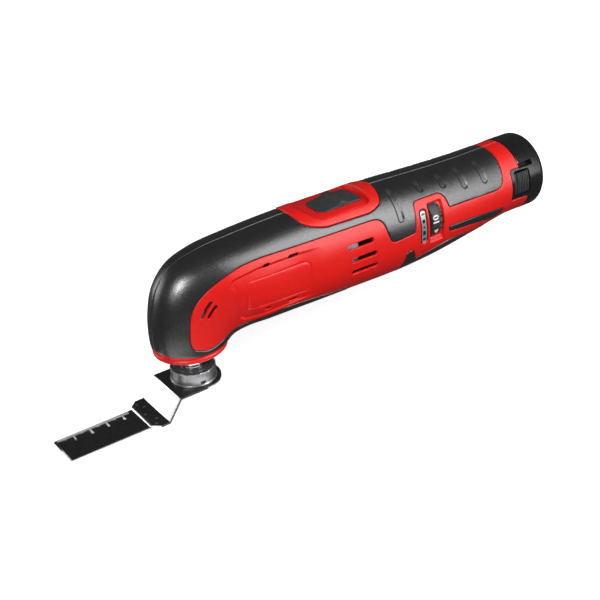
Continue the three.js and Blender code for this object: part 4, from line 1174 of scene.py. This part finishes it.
def build_holder():
    h = HOLDER
    fall = math.atan2(h.top - h.drop, h.bend - h.foot)
    shift = h.thickness * math.tan(fall / 2)
    across, along = 0.5, 0.3  # how far each fold's rounding reaches, level and down the slope
    upper = outline((h.plate + 1, h.top), (h.bend + across, h.top),
                    ("bend", (h.bend, h.top), (h.bend - along, h.top - 0.43)),
                    (h.foot + along, h.drop + 0.43),
                    ("bend", (h.foot, h.drop), (h.foot - across, h.drop)),
                    (h.end + GROUND, h.drop), steps=5)
    lower = [(x + (shift if h.end + GROUND < x < h.plate else 0), z - h.thickness)
             for x, z in upper[::-1]]
    lower[0] = (h.end, h.drop - h.thickness)
    lower.insert(0, (h.end, h.drop - GROUND))
    holder = prism("bent_holder", upper + lower, -20, 20, "y")
    plan = [(h.end, -h.width / 2), (h.end + 5, -h.plate)]
    plan += [polar(h.plate, math.radians(a)) for a in range(-90, 91, 4)]
    plan += [(h.end + 5, h.plate), (h.end, h.width / 2)]
    combine(holder, prism("holder_plan", plan, -20, 5), "INTERSECT")
    cut(holder, rod("holder_hole", 4, -3, 1))
    dome = [(0, -0.75), (1.2, -0.75), (1.2, 0.45), (0.9, 0.7), (0, 0.75)]
    for spot in STUDS:
        add(holder, lathe("stud", dome, "z", spot, 20))
    rounded(holder, 0.14, 50)
    painted(holder, holder_finish)
    place(holder, "accessory", "black_steel", "coated bright steel", ["blade_holder"])
    weld = [(0, -0.3), (0.85, -0.3), (0.85, 0.02), (0.6, 0.1), (0.3, 0.03), (0, 0)]
    weld = [(radius, h.drop + height) for radius, height in weld]
    spots = [(-33, 0), (-29.8, 7.2), (-32.2, 11.6), (-29.8, -7.2), (-32.2, -11.6)]
    welds = [lathe("weld", weld, "z", spot, 20) for spot in spots]
    place(joined(welds, "weld_spots"), "accessory", "steel", "steel")


def build_blade():
    b = BLADE
    pitch = 2 * b.half / b.teeth
    root = b.tip + b.depth
    plan = [(b.rear, -b.half), (b.rear, b.half)]
    for k in range(b.teeth):
        y = b.half - k * pitch
        plan += [(root, y - 0.15), (b.tip + 0.05, y - pitch / 2), (root, y - pitch + 0.15)]
    plan = [p for i, p in enumerate(plan) if i == 0 or math.dist(p, plan[i - 1]) > 0.01]
    blade = prism("plunge_blade", plan, b.low, b.top)
    near = -b.half
    bevel = [(near - 1, b.top + 1), (near - 1, b.top - 0.35), (near, b.top - 0.35),
             (near + 0.8, b.top + 0.05), (near + 0.8, b.top + 1)]
    cut(blade, prism("edge_bevel", bevel, -90, -20, "x"))
    painted(blade, lambda c, n: int(n.y < -0.25 or n.y > 0.9 or n.x > 0.9))
    place(blade, "accessory", "coated_steel", "coated steel", ["saw_blade"])

    marks = []
    edge = b.half - 0.15
    for k in range(1, 45):
        length = 4.2 if k % 10 == 0 else 3.3 if k % 5 == 0 else 2.4
        x = root + k
        marks.append(box("tick", (x - 0.21, edge - length, b.top - 0.06),
                         (x + 0.21, edge, b.top + 0.015)))
    for number in range(1, 5):
        digit = text_mesh("number", str(number), 3.4, 0.025)
        spot = (root + 10 * number - 0.2, b.half - 5.6, b.top - 0.025)
        digit.data.transform(Matrix.Translation(spot))
        marks.append(digit)
    place(joined(marks, "ruler_marks"), "accessory", "silver_label", "white")


def build_clamp():
    profile = [(0, -8.6), (4.4, -8.6), (5, -8.1), (5, -4.4), (4.6, -3.9), (2.8, -3.9), (2.8, 15),
               (0, 15)]
    screw = lathe("clamp_screw_body", profile, segments=64)
    hexagon = [polar(2.9, math.radians(60 * k)) for k in range(6)]
    cut(screw, prism("hexagon", hexagon, -9, -6))
    rounded(screw, 0.15, 40)
    place(screw, "accessory", "black_steel", "coated", ["clamp_screw"])
    profile = [(3.2, -3.6), (7.7, -3.6), (8, -3.3), (8, -2), (7.7, -1.7), (3.2, -1.7)]
    washer = lathe("clamp_ring", profile, closed=True)
    place(washer, "accessory", "steel", "steel", ["clamp_washer"])


# ---------------------------------------------------------------- battery


BATTERY_AXIS = (0, BATTERY_Z)
CAP_FRONT, CAP_END = BATTERY_SEAM + 0.25, 248.7


def battery_tube(name, inner, outer, low, high, segments):
    profile = [(inner, low), (outer, low), (outer, high), (inner, high)]
    return lathe(name, profile, "x", BATTERY_AXIS, segments, closed=True)


def build_battery():
    """The cap. The housing's tongue reaches into it, and two lugs beside it reach forward."""
    radius, margin = BATTERY_RADIUS, 0.3
    profile = [(0, CAP_FRONT), (radius - 0.3, CAP_FRONT), (radius, CAP_FRONT + 0.3),
               (radius, CAP_END - 3.4)]
    centre = (radius - 2.6, CAP_END - 2.9)
    profile += [polar(2.6, math.pi / 2 * k / 8, centre) for k in range(1, 9)]
    profile += [(radius - 4.2, CAP_END - 0.3), (radius - 4.7, CAP_END - 0.02),
                (radius - 6, CAP_END), (0, CAP_END)]
    cap = lathe("battery_cap_shell", profile, "x", BATTERY_AXIS, 160)

    rear, top = TONGUE_REAR + margin, TONGUE_TOP + margin
    tongue = battery_tube("tongue_room", radius - 2.6, 40, 200, rear, 96)
    shape = outline((200, 0), (rear, 0), (rear, 43.6), ("bend", (rear, top), (233.4, top)),
                    (200, top))
    combine(tongue, prism("tongue_shape", shape, -60, 60, "y"), "INTERSECT")
    cut(cap, rod("cap_room", 18.2, CAP_FRONT - 1, 246.3, "x", BATTERY_AXIS, 64), tongue)

    lugs = battery_tube("lugs", radius - 2.2, radius - 0.35, 221.7, CAP_FRONT + 1, 128)
    combine(lugs, box("band", (220.7, -60, top), (CAP_FRONT + 2, 60, 67.1)), "INTERSECT")
    cut(lugs, box("between", (200, -12, 0), (260, 12, 100)))
    add(cap, lugs)
    window = rounded_box(223.6, 49.6, 236.2, 65.8, 2.2)
    slit = rounded_box(228.6, 66.6, 240, 69.5, 0.3)
    for side in (-1, 1):
        cut(cap, side_prism("latch_window", window, side, 17.9))
        cut(cap, side_prism("slit", slit, side, 16.6))
    rounded(cap, 0.18, 42)
    place(cap, "battery_pack", "battery_plastic", "gloss", ["battery_cap"])
    build_latch(-1, "left")
    build_latch(1, "right")


def build_latch(side, name):
    """The latch button, with upright ribs that stand proud of its sunken face."""
    window = rounded_box(224.0, 50.0, 235.8, 65.4, 1.9)
    button = side_prism(f"latch_button_{name}", window, side, 20.6)
    face = rod("face", BATTERY_RADIUS - 1.3, 220, 240, "x", BATTERY_AXIS, 160)
    combine(button, face, "INTERSECT")
    crown = rod("crown", BATTERY_RADIUS - 0.15, 220, 240, "x", BATTERY_AXIS, 160)
    for k in range(7):
        x = 226.2 + 1.35 * k
        rib = side_prism("rib", rounded_box(x, 51, x + 0.75, 64.4, 0.3), side, 20.8)
        combine(rib, crown, "INTERSECT", keep_other=True)
        add(button, rib)
    bpy.data.objects.remove(crown)
    rounded(button, 0.12, 45)
    place(button, f"latch_button_{name}", "battery_plastic", "satin", [f"latch_{name}"])


# ---------------------------------------------------------------- carried-over CAD nodes

CAD_LOOKS = {
    "aluminium": ["gear_case"],
    "rubber": ["spindle_seal"],
    "plated": ["motor_can"],
    "bell": ["motor_end_bell"],
    "ferrite": ["magnet_left", "magnet_right", "carbon_brush_1", "carbon_brush_2"],
    "copper": ["armature", "commutator"],
    "satin": ["switch_module", "switch_link", "dial_potentiometer", "terminal_block",
              "motor_lead"],
    "board": ["speed_board"],
    "lead": ["battery_lead"],
    "gloss": ["battery_sleeve"],
    "brass": ["battery_contacts"],
    "wrap": ["battery_cell_1", "battery_cell_2", "battery_cell_3"],
}


def dress_cad_nodes():
    """Gives every CAD node that still shows its finish. The rest are screws and steel parts."""
    look_of = {name: look for look, names in CAD_LOOKS.items() for name in names}
    for name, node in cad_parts.items():
        if node.hide_render:
            continue
        look = look_of.get(name, "coated" if "screw" in name else "steel")
        node.data.materials.clear()
        node.data.materials.append(FINISH[look])
        bevelled(node, "softened", 0.00018, 40)


# ---------------------------------------------------------------- stage


def build_camera():
    """The photo's camera, fitted to the blade's corners and to the collar's and battery's rims."""
    azimuth, elevation, roll = math.radians(-32.7), math.radians(29.2), math.radians(-4.0)
    target = TO_ROW @ Vector((74.9, 0, 21.4))
    distance = 0.706
    back = Vector((math.sin(azimuth) * math.cos(elevation),
                   -math.cos(azimuth) * math.cos(elevation), math.sin(elevation)))
    level = Vector((math.cos(azimuth), math.sin(azimuth), 0))
    upright = back.cross(level)
    right = math.cos(roll) * level + math.sin(roll) * upright
    up = -math.sin(roll) * level + math.cos(roll) * upright
    data = bpy.data.cameras.new("camera")
    data.sensor_width = 36
    data.lens = 72
    data.clip_start, data.clip_end = 0.01, 20
    camera = link(data, "camera")
    turn = Matrix((right, up, back)).transposed().to_4x4()
    camera.matrix_world = Matrix.Translation(target + back * distance) @ turn
    bpy.context.scene.camera = camera


def area_light(name, location, size, power):
    """A rectangular light that is aimed at the middle of the tool."""
    data = bpy.data.lights.new(name, "AREA")
    data.shape = "RECTANGLE"
    data.size, data.size_y = size
    data.energy = power
    light = link(data, name)
    light.location = location
    light.rotation_mode = "QUATERNION"
    aim = Vector((0, 0, 0.05)) - Vector(location)
    light.rotation_quaternion = aim.to_track_quat("-Z", "Y")


def disc(name, centre, radius):
    """A flat round card that faces up."""
    bm = bmesh.new()
    bmesh.ops.create_circle(bm, cap_ends=True, radius=radius, segments=48)
    bmesh.ops.translate(bm, verts=bm.verts, vec=centre)
    return from_bmesh(bm, name)


def build_stage():
    bm = bmesh.new()
    reach = 4.0
    corners = [(-reach, -reach), (reach, -reach), (reach, reach), (-reach, reach)]
    bm.faces.new([bm.verts.new((x, y, -0.0006)) for x, y in corners])
    floor = from_bmesh(bm, "floor")
    if floor.data.polygons[0].normal.z < 0:
        floor.data.flip_normals()
    floor.data.materials.append(FINISH["floor"])
    floor.visible_diffuse = floor.visible_glossy = False
    card = disc("glow_card", (-0.115, -0.03, -0.0004), 0.06)
    card.data.materials.append(FINISH["glow"])
    card.visible_camera = card.visible_diffuse = card.visible_shadow = False
    world = bpy.data.worlds.new("studio")
    world.use_nodes = True
    background = world.node_tree.nodes["Background"]
    background.inputs["Color"].default_value = (1, 1, 1, 1)
    background.inputs["Strength"].default_value = 0.08
    bpy.context.scene.world = world
    area_light("right_box", (0.62, -0.85, 0.62), (0.5, 1.4), 17.0)
    area_light("left_box", (-0.85, -0.68, 0.72), (0.24, 0.24), 12.0)
    area_light("back_box", (-0.95, 1.05, 0.3), (0.8, 0.6), 6.0)
    bpy.context.scene.view_settings.view_transform = "Standard"


# ---------------------------------------------------------------- the scene

build_camera()
build_stage()
surface = build_housing()
build_gauge(surface)
build_bezel()
build_nose_ring()
build_knob()
build_dial()
build_spindle()
build_holder()
build_blade()
build_clamp()
build_battery()
dress_cad_nodes()
